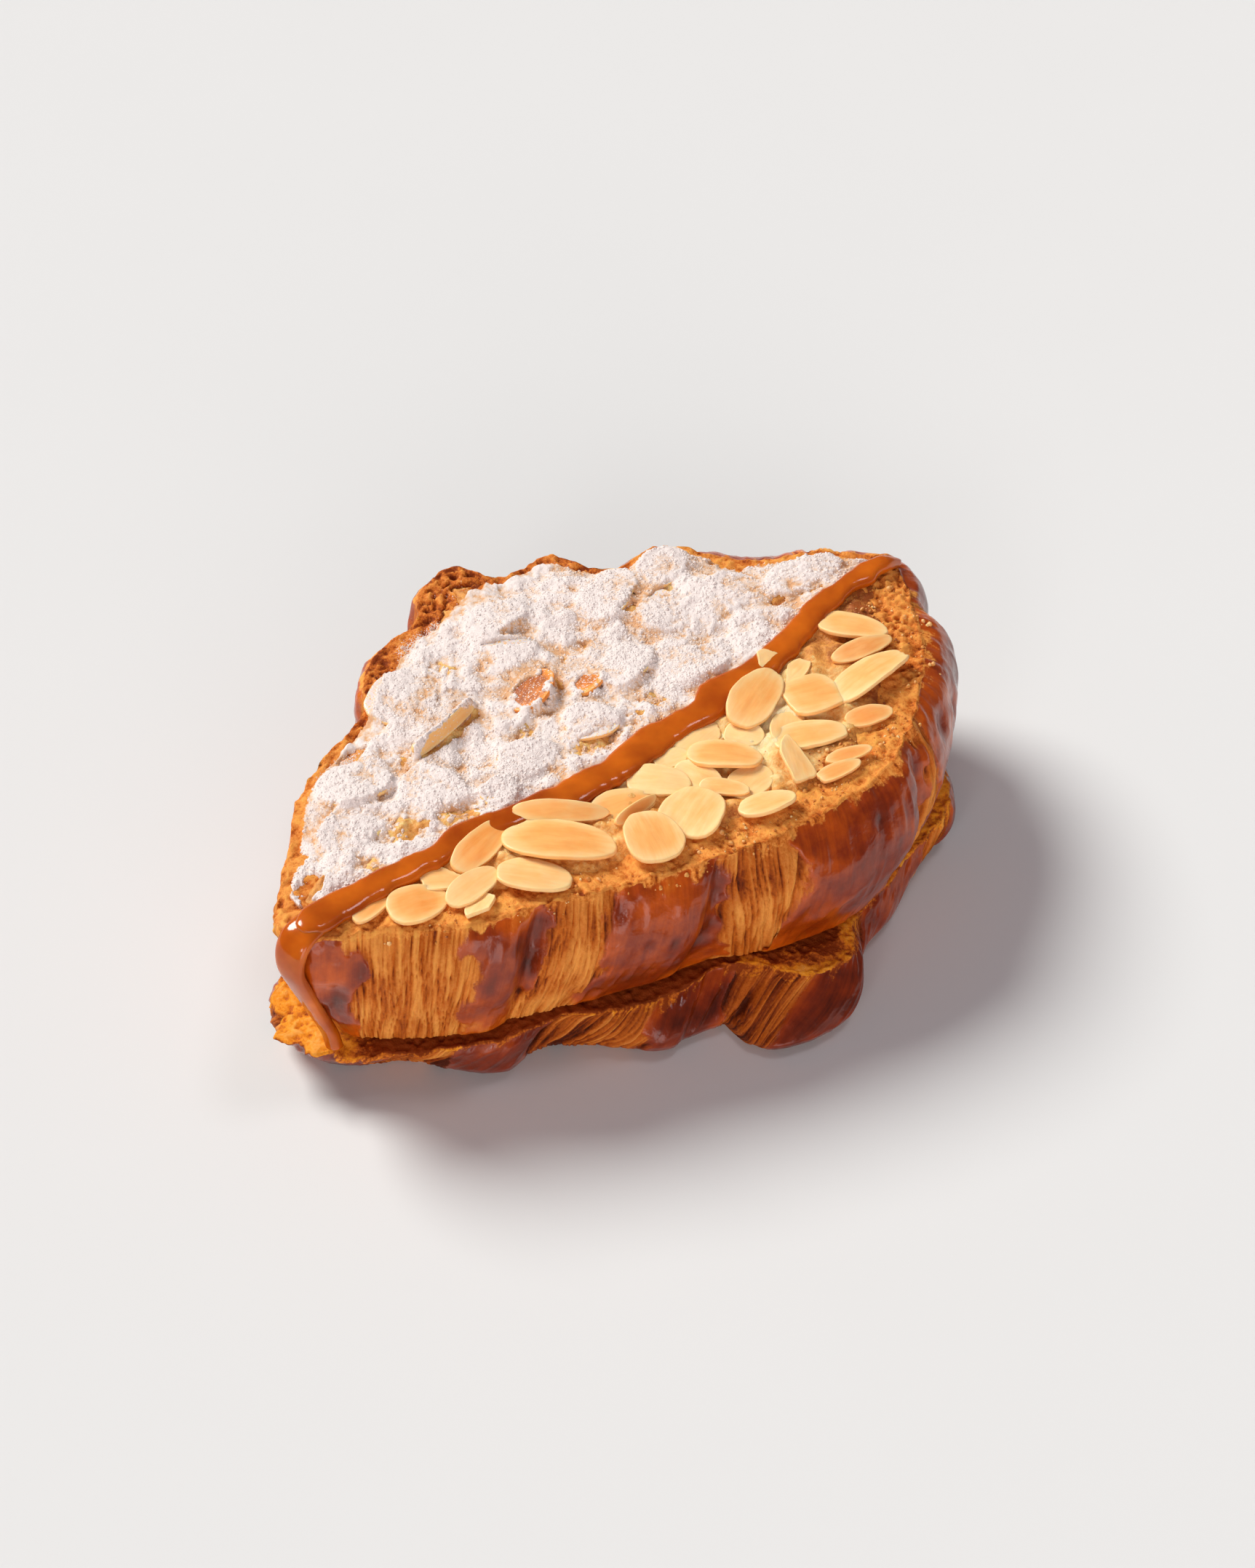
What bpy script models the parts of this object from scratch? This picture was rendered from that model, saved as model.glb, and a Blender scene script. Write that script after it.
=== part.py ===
"""An almond croissant, split along its length and stacked: a thin lower half, the thick upper half
laid on it with its cut face up, and on that face a frangipane layer with flaked almonds and a
caramel stripe that runs over the left tip.

Blender 4.5, metres, +Z up. X runs along the croissant and the near side faces -Y. The origin lies
on the resting surface, under the middle of the bounding box. Shapes are worked out in millimetres
about the middle of the cut face, and written in metres about the origin.
"""

import math
from dataclasses import dataclass
from typing import NamedTuple

import bmesh
import bpy
import numpy as np
from mathutils import Euler

# Driving dimensions, millimetres and degrees

MM = 0.001
ORIGIN = (3.37, -8.07)  # the middle of the bounding box, from the middle of the cut face
CLEARANCE = 0.3  # between pieces that lie on each other

LOWER_CUT_Z = 11.5
UPPER_BASE_Z = LOWER_CUT_Z + CLEARANCE
UPPER_CUT_Z = 41.2
FAR_RISE = 1.3  # the cut face of the upper half climbs towards the far rim
RIM_DROP = 0.6
CRUMPLE = 0.5  # unevenness of the cut faces

SEAM_DEPTH = 2.4
SEAM_WIDTH = 3.2  # half the width of the groove between two turns of the roll
SEAM_STEP = 1.5  # how far a turn stands proud of the next one
SEAM_FADE = 16.0  # length over which a turn falls back to the mean outline
SEAM_LEAN = 7.0  # the seams slant to the left on their way down

ALMOND_THICK = 1.1
ALMOND_POINT = 0.16  # how much narrower a flake is at its tip than at its round end
ALMOND_BEVEL = 0.07  # of its half width, round the upper edge
ALMOND_SAG = 0.012  # a flake's ends curl down by this times the square of their distance
FLAKE_SIDES = 10
CREAM_INSET = 5.0  # bare crumb between the cream and the rim
CREAM_THICK = 1.0
CREAM_LUMP = 0.9
CREAM_ROWS = (0.25, 0.5, 0.72, 0.9)  # shares of the way from the middle to the edge
CREAM_ROOT = 2.5  # how far below the cut face the untrimmed sheet starts

STRAND_SIDES = 10
STRAND_BELOW = 0.8  # of its thickness, the part of a strand below its path
CARAMEL_THICK = 1.7
CARAMEL_LIFT = 0.3
CARAMEL_TIP_X = 76.5  # past this the stripe sinks over the rim, by CARAMEL_SINK
CARAMEL_SINK = 1.5
DRIP_THICK = 1.5
DRIP_ACROSS = (-0.2, 0.98, 0.0)  # the direction of the drip's width


@dataclass
class Half:
    """One half of the roll: the rim of its cut face, the foot of its wall and what joins them."""

    outline: list  # rim x, rim y, foot x, foot y, anticlockwise from the left tip
    cut_z: float
    foot_z: float  # where the wall turns under
    turn_under: tuple  # inset from the foot and height of each row below it
    belly: dict  # how far the wall swells past the line from rim to foot, by compass angle
    belly_at: dict  # the share of the wall's depth at which it swells most, by compass angle
    seams: list  # compass angles of the grooves between the turns
    seam_share: float  # of the full seam relief
    around: int
    cut_rows: tuple  # shares of the way from the middle to the rim
    wall_rows: int
    far_rise: float = 0.0


UPPER = Half(
    outline=[
        (-77, -10, -69, -13), (-72, -14, -67, -17.5), (-62, -19, -60.5, -23), (-50, -28, -50, -30),
        (-36, -34, -36.5, -35), (-20, -40, -21, -40.5), (-5, -45, -6, -45.5), (10, -49, 9, -51.5),
        (25, -50, 25, -54.5), (39, -48.5, 40, -50.5), (52, -42, 52, -45), (65, -31, 66, -33),
        (74, -18, 76, -19), (80, -7, 79, -8), (77, 0, 76, 0), (67, 8, 66, 8), (58, 13, 57, 13),
        (51, 22, 50, 21), (46, 28, 45, 27), (36, 28, 35, 27), (31, 33, 30, 32), (26, 40, 25, 38),
        (15, 41, 14, 39), (10, 50, 10, 47), (0, 48, 0, 46), (-7, 42, -7, 40), (-20, 39, -19, 37),
        (-31, 28, -29, 27), (-42, 24, -40, 22), (-54, 18, -51, 16), (-64, 8, -59, 7), (-75, -3, -67, -4),
    ],
    cut_z=UPPER_CUT_Z,
    foot_z=13.2,
    turn_under=((3.0, 12.3), (9.0, UPPER_BASE_Z)),
    belly={-178: 1.0, -160: 3.0, -130: 5.0, -70: 5.0, -30: 5.5, -5: 7.0, 5: 6.0, 25: 3.0, 90: 2.0, 150: 2.0},
    belly_at={-60: 0.45, -10: 0.32, 20: 0.32, 60: 0.45, 180: 0.45},
    seams=[-138.3, -93.9, -46.3, -12.0, 24.0, 41.0, 70.0, 97.0, 133.0, 153.0],
    seam_share=1.0,
    around=124,
    cut_rows=(0.45, 0.8, 0.96),
    wall_rows=7,
    far_rise=FAR_RISE,
)

LOWER = Half(
    outline=[
        (-77.5, -5, -73, -3), (-76.5, -12, -71, -9.5), (-72, -18, -67, -14), (-63, -24, -59, -19.5),
        (-55, -29, -54, -26.5), (-46, -33.5, -47, -33.5), (-36, -36, -37, -34.5), (-27, -41, -29, -40.5),
        (-18, -45, -20, -49.5), (-8, -46.5, -13, -51), (-1, -47.5, -6, -53), (4, -52, -5.5, -59.5),
        (8, -58.5, -2, -64), (14, -61.5, 5, -66.5), (20, -60.5, 13, -66.5), (24, -56, 20, -61),
        (29, -53.5, 27, -55.5), (38, -51.5, 37, -53), (46, -49, 45, -48.5), (54, -47, 53, -45),
        (62, -43.5, 62, -42), (68, -36, 68, -35), (73, -26, 72, -25), (78, -14, 77, -14),
        (79, -3, 78, -3), (73, 4, 72, 4), (62, 11, 62, 12), (50, 21, 51, 22), (38, 28, 39, 30),
        (26, 37, 27, 39), (10, 42, 10, 45), (-6, 41, -6, 44), (-20, 36, -21, 38), (-34, 26, -35, 28),
        (-50, 17, -51, 19), (-66, 8, -66, 9), (-75, 1, -72, 3),
    ],
    cut_z=LOWER_CUT_Z,
    foot_z=3.0,
    turn_under=((1.2, 1.2), (4.0, 0.0)),
    belly={-178: 0.0, -150: 0.0, -120: 1.0, -30: 1.0, 180: 1.0},
    belly_at={0: 0.6},
    seams=[-133.0, -96.5, -62.0, -12.0, 41.0, 97.0, 133.0],
    seam_share=0.5,
    around=112,
    cut_rows=(0.4, 0.92),
    wall_rows=5,
)

# The caramel stripe: along X, the middle of its width, its width
CARAMEL = [
    (-76.5, -10.5, 5.0), (-65, -10.5, 5.6), (-55, -11, 5.4), (-45, -12, 5.0), (-35, -11.5, 5.2),
    (-25, -14, 5.8), (-12, -16, 6.6), (0, -17, 7.0), (12, -15, 6.2), (22, -14, 7.8), (35, -13.5, 6.0),
    (46, -11.5, 7.0), (56, -8.5, 6.0), (65, -6.5, 6.4), (73, -5.8, 7.0), (80.5, -7.3, 4.4),
]
# The drip at the left tip: x, y, z along the end wall from the rim down, and its width
DRIP = [
    (-75.5, -10.8, 42.2, 6.0), (-77.6, -11.4, 37.5, 5.2), (-76.2, -12.0, 31.0, 4.2),
    (-73.8, -12.8, 23.0, 3.0), (-71.6, -13.6, 16.0, 2.6), (-71.3, -14.4, 11.9, 3.0),
]


class Flake(NamedTuple):
    """A flaked almond: its middle, size, heading, roll about its length, pitch and height over the cream."""

    x: float
    y: float
    length: float
    width: float
    heading: float
    roll: float
    pitch: float
    lift: float


# On the bare side of the stripe
BARE_FLAKES = [
    (-53.5, -19.0, 12.0, 8.5, -15, 6, 4, 0.2), (-61.0, -14.6, 9.0, 3.4, 5, 8, 0, 0.0),
    (-46.5, -16.8, 10.5, 6.0, -35, 4, 3, 0.2), (-35.5, -15.8, 16.5, 6.6, 12, 14, 0, 1.2),
    (-45.0, -26.8, 8.0, 4.4, 20, -10, 0, 0.2), (-43.5, -22.8, 12.5, 6.0, 4, 10, 0, 1.3),
    (-33.5, -26.5, 15.5, 8.4, -48, -6, 6, 0.6), (-24.0, -24.6, 21.5, 11.0, -46, -5, 3, 0.9),
    (-19.5, -19.6, 18.5, 4.4, -39, 38, 4, 2.2), (-8.5, -24.5, 13.0, 8.0, -20, 5, 0, 0.3),
    (-11.5, -34.6, 12.6, 11.4, 70, 4, -5, 1.2), (-9.0, -28.0, 12.0, 2.6, 4, 45, 0, 1.0),
    (0.5, -34.8, 12.6, 12.2, 20, -4, -4, 0.9), (1.0, -24.4, 12.5, 7.5, -48, 8, 0, 0.9),
    (6.5, -20.6, 9.0, 5.0, -15, 0, 0, 0.2), (7.6, -28.0, 10.5, 6.0, -70, 12, 0, 0.6),
    (14.8, -27.6, 14.5, 8.6, -46, -10, 0, 1.4), (15.0, -19.6, 13.0, 8.0, 10, 4, 0, 0.3),
    (14.5, -35.4, 10.0, 8.0, 5, 3, 0, 0.3), (22.0, -25.0, 8.0, 6.5, -60, 10, 0, 0.3),
    (29.6, -20.0, 17.0, 9.2, 22, 12, 0, 1.9), (39.5, -25.8, 14.0, 12.0, -20, -4, 3, 0.7),
    (30.0, -29.0, 10.0, 7.0, 40, 5, 0, 0.2), (31.5, -33.8, 15.0, 7.5, -28, -4, 0, 0.8),
    (26.0, -37.0, 11.0, 6.0, 38, 10, 0, 1.1), (9.0, -34.0, 10.0, 3.6, -50, 15, 0, 1.2),
    (12.5, -42.4, 11.5, 6.2, -20, -10, -3, 0.7), (51.5, -28.8, 20.5, 8.0, 3, -12, 0, 1.6),
    (55.5, -22.6, 13.5, 4.2, -12, 22, 0, 1.4), (58.6, -16.4, 14.5, 8.0, -55, -8, 0, 1.0),
    (41.5, -18.6, 9.0, 4.4, 15, 0, 0, 0.6), (44.0, -37.0, 10.0, 4.2, -18, 20, 0, 0.6),
    (33.6, -42.4, 9.8, 3.0, -18, 15, 0, 0.5), (29.3, -44.0, 10.2, 3.4, -10, 10, 0, 0.2),
    (38.6, -13.6, 5.0, 5.0, 0, 20, 0, 1.8),
]
# On the sugared side
SUGARED_FLAKES = [
    (5.0, 30.6, 15.0, 9.0, -8, -14, 0, 2.2), (-22.5, 25.0, 15.0, 14.0, 40, 6, 0, 1.2),
    (-45.0, 14.0, 18.0, 14.0, -25, -5, 0, 1.4), (-52.0, 4.0, 15.0, 12.0, 30, 5, 0, 0.6),
    (-22.0, 12.2, 18.5, 6.5, 4, 18, 0, 2.3), (-2.0, 10.5, 13.0, 9.0, 28, -22, 0, 2.0),
    (8.0, 5.5, 8.0, 6.5, 10, -20, 0, 1.2), (0.5, 21.5, 14.0, 10.0, -28, 6, 0, 1.0),
    (-14.0, -3.4, 12.0, 9.0, -12, 8, 0, 1.6), (1.5, -3.6, 11.0, 9.0, -30, 6, 0, 1.0),
    (27.5, 22.0, 17.0, 10.0, 25, -10, 0, 1.8), (41.5, 21.5, 13.0, 9.0, 10, 5, 0, 0.6),
    (28.5, -4.2, 15.0, 9.0, -12, -10, 0, 1.5), (17.0, 4.0, 14.0, 9.0, 12, -6, 0, 1.0),
    (45.0, 8.0, 16.0, 11.0, -10, 5, 0, 0.7), (62.0, 1.5, 18.0, 8.0, -12, 5, 0, 0.7),
    (-33.0, 2.0, 14.0, 10.0, -60, 4, 0, 0.6), (-24.0, -7.0, 8.0, 7.0, 20, 8, 0, 1.0),
    (33.0, 12.0, 13.0, 9.0, 60, 5, 0, 0.6), (-17.0, 33.0, 10.0, 6.0, -35, 8, 0, 0.4),
]

COLOURS = {  # linear red, green, blue, then roughness
    "lower_half": (0.42, 0.13, 0.03, 0.45),
    "upper_half": (0.47, 0.15, 0.035, 0.4),
    "almond_topping": (0.84, 0.58, 0.26, 0.5),
}


def clear_scene():
    for obj in list(bpy.data.objects):
        bpy.data.objects.remove(obj, do_unlink=True)


def cubic(before, corner, after, beyond, u):
    """The smooth curve from corner (u = 0) to after (u = 1) that heeds their neighbours."""
    return (
        corner
        + 0.5 * u * (after - before)
        + u**2 * (before - 2.5 * corner + 2 * after - 0.5 * beyond)
        + u**3 * (1.5 * (corner - after) + 0.5 * (beyond - before))
    )


def closed_curve(points, count):
    """Evenly spaced points on a smooth closed curve through the given ones."""
    corner = np.asarray(points, float)
    before, after, beyond = (np.roll(corner, shift, axis=0) for shift in (1, -1, -2))
    dense = []
    for u in np.linspace(0, 1, 24, endpoint=False):
        dense.append(cubic(before, corner, after, beyond, u))
    path = np.stack(dense, axis=1).reshape(-1, corner.shape[1])
    path = np.vstack([path, path[:1]])
    length = np.concatenate([[0], np.cumsum(np.linalg.norm(np.diff(path[:, :2], axis=0), axis=1))])
    at = np.linspace(0, length[-1], count, endpoint=False)
    return np.stack([np.interp(at, length, axis) for axis in path.T], axis=1), length[-1]


def open_curve(points, count):
    """Evenly spaced rows on a smooth curve through the given rows, with its ends on the first and last."""
    rows = np.asarray(points, float)
    padded = np.vstack([2 * rows[0] - rows[1], rows, 2 * rows[-1] - rows[-2]])
    at = np.linspace(0, len(rows) - 1 - 1e-9, count)
    start = at.astype(int)
    u = (at - start)[:, None]
    before, corner, after, beyond = (padded[start + step] for step in range(4))
    return cubic(before, corner, after, beyond, u)


def outward(ring):
    """The horizontal directions that point out of an anticlockwise ring, evened out over its notches."""
    tangent = np.roll(ring, -3, axis=0) - np.roll(ring, 3, axis=0)
    normal = np.stack([tangent[:, 1], -tangent[:, 0]], axis=1)
    return normal / np.linalg.norm(normal, axis=1, keepdims=True)


def by_compass(knots, angle):
    """Values between the knots of an {angle: value} table, round the full circle."""
    return np.interp(angle, list(knots), list(knots.values()), period=360)


def waves(x, y, size):
    """A gentle unevenness of about one, by place."""
    return (
        np.sin(x / size + 0.7) * np.cos(y / size * 1.3 + 0.4)
        + 0.6 * np.sin((x + 1.7 * y) / size * 1.9 + 2.1)
        + 0.4 * np.cos((1.3 * x - y) / size * 2.7 + 0.3)
    ) / 2


def seam_relief(half, ring, perimeter, depth):
    """How far the wall stands out at each point of the ring, from the turns of the roll."""
    compass = np.degrees(np.arctan2(ring[:, 1], ring[:, 0]))
    count = len(ring)
    relief = np.zeros(count)
    for angle in half.seams:
        apart = (compass - angle + 180) % 360 - 180
        seam = int(np.argmin(np.abs(apart)))
        along = ((np.arange(count) - seam + count / 2) % count - count / 2) * perimeter / count
        along = along + SEAM_LEAN * depth * (1 if angle < 0 else -1)
        relief -= SEAM_DEPTH * np.exp(-((along / SEAM_WIDTH) ** 2))
        relief -= SEAM_STEP * np.tanh(along / 2) * np.exp(-np.abs(along) / SEAM_FADE)
    return relief * half.seam_share * (0.35 + 0.65 * math.sin(math.pi * depth**0.7))


def cut_height(half, flat):
    """The height of the cut face at the given places."""
    rise = np.clip(flat[:, 1] / 45, 0, 1)
    return half.cut_z + half.far_rise * rise * rise * (3 - 2 * rise) + CRUMPLE * waves(*flat.T, 9.0)


def half_rings(half):
    """The rings of one half from the middle of the cut face, over the rim and the wall, to the base."""
    outline, perimeter = closed_curve(half.outline, half.around)
    rim, foot = outline[:, :2], outline[:, 2:]
    normal = outward(rim)
    compass = np.degrees(np.arctan2(rim[:, 1], rim[:, 0]))
    belly = by_compass(half.belly, compass)
    power = math.log(0.5) / np.log(by_compass(half.belly_at, compass))
    rings = [np.column_stack([rim * share, cut_height(half, rim * share)]) for share in half.cut_rows]
    top = cut_height(half, rim) - RIM_DROP
    for row in range(half.wall_rows + 1):
        depth = row / half.wall_rows
        swell = belly * np.sin(math.pi * depth**power) + seam_relief(half, rim, perimeter, depth)
        flat = rim + (foot - rim) * depth + normal * swell[:, None]
        rings.append(np.column_stack([flat, top + (half.foot_z - top) * depth]))
    last = rings[-1][:, :2]
    for inset, height in half.turn_under:
        flat = last * (1 - inset / np.linalg.norm(last, axis=1, keepdims=True))
        rings.append(np.column_stack([flat, np.full(len(rim), height)]))
    rings.append(np.column_stack([flat * 0.5, np.full(len(rim), height)]))
    return np.array(rings)


def shaped_sphere(name, rings, top, bottom, colour):
    """A closed body: a UV sphere whose rows of vertices take the places of the given rings."""
    rows, around = rings.shape[:2]
    form = bmesh.new()
    bmesh.ops.create_uvsphere(form, u_segments=around, v_segments=rows + 1, radius=1)
    for vert in form.verts:
        row = round(math.acos(max(-1, min(1, vert.co.z))) / math.pi * (rows + 1)) - 1
        turn = round(math.atan2(vert.co.y, vert.co.x) / (2 * math.pi) * around) % around
        place = top if row < 0 else bottom if row >= rows else rings[row, turn]
        vert.co = [
            (place[0] - ORIGIN[0]) * MM,
            (place[1] - ORIGIN[1]) * MM,
            place[2] * MM,
        ]
    if form.calc_volume(signed=True) < 0:
        bmesh.ops.reverse_faces(form, faces=form.faces)
    bmesh.ops.triangulate(form, faces=form.faces)
    mesh = bpy.data.meshes.new(name)
    form.to_mesh(mesh)
    form.free()
    mesh.materials.append(colour)
    mesh.shade_smooth()
    obj = bpy.data.objects.new(name, mesh)
    bpy.context.scene.collection.objects.link(obj)
    return obj


def principled(name):
    red, green, blue, roughness = COLOURS[name]
    material = bpy.data.materials.new(name)
    material.use_nodes = True
    shader = material.node_tree.nodes["Principled BSDF"]
    shader.inputs["Base Color"].default_value = (red, green, blue, 1)
    shader.inputs["Roughness"].default_value = roughness
    shader.inputs["Metallic"].default_value = 0
    return material


def make_half(name, half, colour):
    rings = half_rings(half)
    middle = rings[0].mean(axis=0)
    under = (*middle[:2], rings[-1, 0, 2])
    return shaped_sphere(name, rings, middle, under, colour)


def make_cream(colour):
    """The frangipane: a lumpy sheet whose edge dips into the cut face, inside the rim."""
    rim, _ = closed_curve([row[:2] for row in UPPER.outline], 56)
    inset = CREAM_INSET + 1.6 * waves(*rim.T, 5.0)
    edge = rim - outward(rim) * inset[:, None]
    rings = []
    for share in CREAM_ROWS:
        flat = edge * share
        top = cut_height(UPPER, flat) + CREAM_THICK + CREAM_LUMP * waves(*flat.T, 3.4)
        rings.append(np.column_stack([flat, top]))
    under = UPPER.cut_z - CREAM_ROOT
    rings.append(np.column_stack([edge, cut_height(UPPER, edge) - CREAM_THICK]))
    rings.append(np.column_stack([edge * 0.96, np.full(len(rim), under)]))
    middle = rings[0].mean(axis=0)
    return shaped_sphere("almond_topping", np.array(rings), middle, (*middle[:2], under), colour)


def make_flake(name, flake, colour):
    """A flaked almond: a thin slice, narrower at one end, with its upper edge bevelled."""
    turn = np.linspace(0, 2 * math.pi, FLAKE_SIDES, endpoint=False)
    width = flake.width / 2 * (1 - ALMOND_POINT * np.cos(turn))
    outline = np.column_stack([flake.length / 2 * np.cos(turn), width * np.sin(turn)])
    sag = ALMOND_SAG * outline[:, 0] ** 2
    upper = np.column_stack([outline * (1 - ALMOND_BEVEL), ALMOND_THICK / 2 - sag])
    lower = np.column_stack([outline, -ALMOND_THICK / 2 - sag])
    ends = np.array([[0, 0, ALMOND_THICK / 2], [0, 0, -ALMOND_THICK / 2]])
    pose = Euler([math.radians(angle) for angle in (flake.roll, flake.pitch, flake.heading)]).to_matrix()
    bed = cut_height(UPPER, np.array([[flake.x, flake.y]]))[0] + CREAM_THICK
    place = np.array([flake.x, flake.y, bed + flake.lift])
    rings = np.array([upper, lower]) @ np.array(pose).T + place
    return shaped_sphere(name, rings, *(ends @ np.array(pose).T + place), colour)


def make_strand(name, path, width, side, up, thick, colour):
    """A poured strand: a domed ribbon of the given width along a path, closed at both ends."""
    turn = np.linspace(0, 2 * math.pi, STRAND_SIDES, endpoint=False)
    high = np.where(np.sin(turn) > 0, 1, STRAND_BELOW) * np.sin(turn) * thick
    rings = [
        path[row] + np.outer(np.cos(turn) * width[row] / 2, side[row]) + np.outer(high, up[row])
        for row in range(len(path))
    ]
    return shaped_sphere(name, np.array(rings), path[0], path[-1], colour)


def make_stripe(colour):
    """The caramel along the cut face, with its right end sunk over the rim."""
    x, y, width = open_curve(CARAMEL, 34).T
    rounding = np.clip((x.max() - x) / 3.0, 0, 1) ** 0.5
    lift = CREAM_THICK + CARAMEL_LIFT - CARAMEL_SINK * np.clip((x - CARAMEL_TIP_X) / 4, 0, 1)
    path = np.column_stack([x, y, cut_height(UPPER, np.column_stack([x, y])) + lift])
    heading = np.gradient(path[:, :2], axis=0)
    heading = heading / np.linalg.norm(heading, axis=1, keepdims=True)
    side = np.column_stack([-heading[:, 1], heading[:, 0], np.zeros(len(x))])
    up = np.tile([0, 0, 1], (len(x), 1))
    width = width * (0.25 + 0.75 * rounding)
    return make_strand("caramel_stripe", path, width, side, up, CARAMEL_THICK, colour)


def make_drip(colour):
    """The end of the stripe that hangs over the left tip and stands on the lower half."""
    rows = open_curve(DRIP, 14)
    path, width = rows[:, :3], rows[:, 3]
    run = np.gradient(path, axis=0)
    run = run / np.linalg.norm(run, axis=1, keepdims=True)
    side = np.tile(DRIP_ACROSS, (len(path), 1))
    side = side - (side * run).sum(axis=1, keepdims=True) * run
    side = side / np.linalg.norm(side, axis=1, keepdims=True)
    return make_strand("caramel_drip", path, width, side, np.cross(side, run), DRIP_THICK, colour)


def swollen(obj, name):
    """A helper copy that stands out by the clearance all round, to trim what lies on the piece."""
    mesh = obj.data.copy()
    for vert in mesh.vertices:
        vert.co += vert.normal * CLEARANCE * MM
    copy = bpy.data.objects.new(name, mesh)
    bpy.context.scene.collection.objects.link(copy)
    return copy


def apply_boolean(obj, operation, collection):
    modifier = obj.modifiers.new(operation.title(), "BOOLEAN")
    modifier.operation = operation
    modifier.operand_type = "COLLECTION"
    modifier.collection = collection
    modifier.solver = "EXACT"
    bpy.context.view_layer.update()
    graph = bpy.context.evaluated_depsgraph_get()
    solid = bpy.data.meshes.new_from_object(obj.evaluated_get(graph))
    obj.modifiers.clear()
    obj.data = solid
    for other in list(collection.objects):
        bpy.data.objects.remove(other, do_unlink=True)
    bpy.data.collections.remove(collection)


def gather(name, objects):
    collection = bpy.data.collections.new(name)
    bpy.context.scene.collection.children.link(collection)
    for obj in objects:
        bpy.context.scene.collection.objects.unlink(obj)
        collection.objects.link(obj)
    return collection


def keep_largest_body(obj):
    """Drops the scraps that trimming leaves loose."""
    form = bmesh.new()
    form.from_mesh(obj.data)
    bmesh.ops.triangulate(form, faces=form.faces)
    waiting = set(form.verts)
    bodies = []
    while waiting:
        body, edge = set(), [waiting.pop()]
        while edge:
            vert = edge.pop()
            body.add(vert)
            near = {link.other_vert(vert) for link in vert.link_edges} & waiting
            waiting -= near
            edge.extend(near)
        bodies.append(body)
    bodies.sort(key=len)
    for scrap in bodies[:-1]:
        bmesh.ops.delete(form, geom=list(scrap), context="VERTS")
    form.to_mesh(obj.data)
    form.free()


def make_topping(upper, lower, colour):
    """The cream, almonds and caramel as one body, clear of both halves."""
    cream = make_cream(colour)
    pieces = [
        make_flake(f"flake_{index:02d}", Flake(*row), colour)
        for index, row in enumerate(BARE_FLAKES + SUGARED_FLAKES)
    ]
    pieces += [make_stripe(colour), make_drip(colour)]
    apply_boolean(cream, "UNION", gather("topping_pieces", pieces))
    trimmers = [swollen(upper, "upper_trimmer"), swollen(lower, "lower_trimmer")]
    apply_boolean(cream, "DIFFERENCE", gather("topping_trimmers", trimmers))
    keep_largest_body(cream)
    return cream


def main():
    clear_scene()
    lower = make_half("lower_half", LOWER, principled("lower_half"))
    upper = make_half("upper_half", UPPER, principled("upper_half"))
    make_topping(upper, lower, principled("almond_topping"))


main()
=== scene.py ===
"""The looks of an almond croissant, split and stacked with its cut faces up.

The baked halves, the frangipane, the flaked almonds, the caramel, the icing sugar and the loose
crumbs are modelled here at the places of the part's own solids. Shapes are worked out in
millimetres about the middle of the cut face, and written in metres about the origin. X runs along
the croissant and the near side faces -Y.
"""

import math
from dataclasses import dataclass
from typing import NamedTuple

import bmesh
import bpy
import numpy as np
from mathutils import Euler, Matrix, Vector
from mathutils.bvhtree import BVHTree
from mathutils.kdtree import KDTree


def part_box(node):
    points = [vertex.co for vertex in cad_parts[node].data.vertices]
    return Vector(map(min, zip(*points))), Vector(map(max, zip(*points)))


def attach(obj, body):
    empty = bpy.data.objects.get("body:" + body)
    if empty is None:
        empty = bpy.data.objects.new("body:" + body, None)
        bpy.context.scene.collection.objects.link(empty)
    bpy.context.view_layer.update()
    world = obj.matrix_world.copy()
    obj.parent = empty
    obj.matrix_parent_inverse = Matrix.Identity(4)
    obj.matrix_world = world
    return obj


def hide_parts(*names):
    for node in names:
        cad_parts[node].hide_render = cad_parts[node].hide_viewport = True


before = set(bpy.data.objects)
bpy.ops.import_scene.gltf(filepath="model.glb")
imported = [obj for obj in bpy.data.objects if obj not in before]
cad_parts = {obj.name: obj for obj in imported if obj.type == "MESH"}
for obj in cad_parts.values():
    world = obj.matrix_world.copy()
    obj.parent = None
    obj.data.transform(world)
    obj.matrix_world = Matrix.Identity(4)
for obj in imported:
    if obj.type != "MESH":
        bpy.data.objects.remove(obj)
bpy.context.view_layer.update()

bl_info = {
    "name": "Almond croissant",
    "version": (1, 0, 0),
    "blender": (4, 5, 0),
    "location": "3D View > Sidebar > Croissant",
    "description": "Builds an almond croissant piece by piece",
    "category": "Object",
}

MM = 0.001
ORIGIN = (3.37, -8.07)  # the middle of the bounding box, from the middle of the cut face
UPPER_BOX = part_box("upper_half")

# The cut faces and the grooves between the turns, millimetres
LOWER_CUT_Z = 11.5
UPPER_BASE_Z = UPPER_BOX[0].z / MM
UPPER_CUT_Z = 41.2
FAR_RISE = 1.3
RIM_DROP = 0.6
CRUMPLE = 0.5
SEAM_DEPTH = 2.4
SEAM_WIDTH = 3.2
SEAM_STEP = 1.5
SEAM_FADE = 16.0
SEAM_LEAN = 7.0
SMOOTHING = 10.0  # the outward direction heeds the rim this far to each side

CRUMB_STEP = 0.42  # spacing of the rows of the open crumb, inside the rim
CREAM_THICK = 1.0
CREAM_INSET = 5.0
CREAM_LUMP = 0.9
CREAM_ROOT = 2.5
CREAM_AROUND, CREAM_ROWS = 760, 92
CREAM_BASE = (0.97, 0.6, 0.3)  # rows of its underside, as shares of the way out

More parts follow.
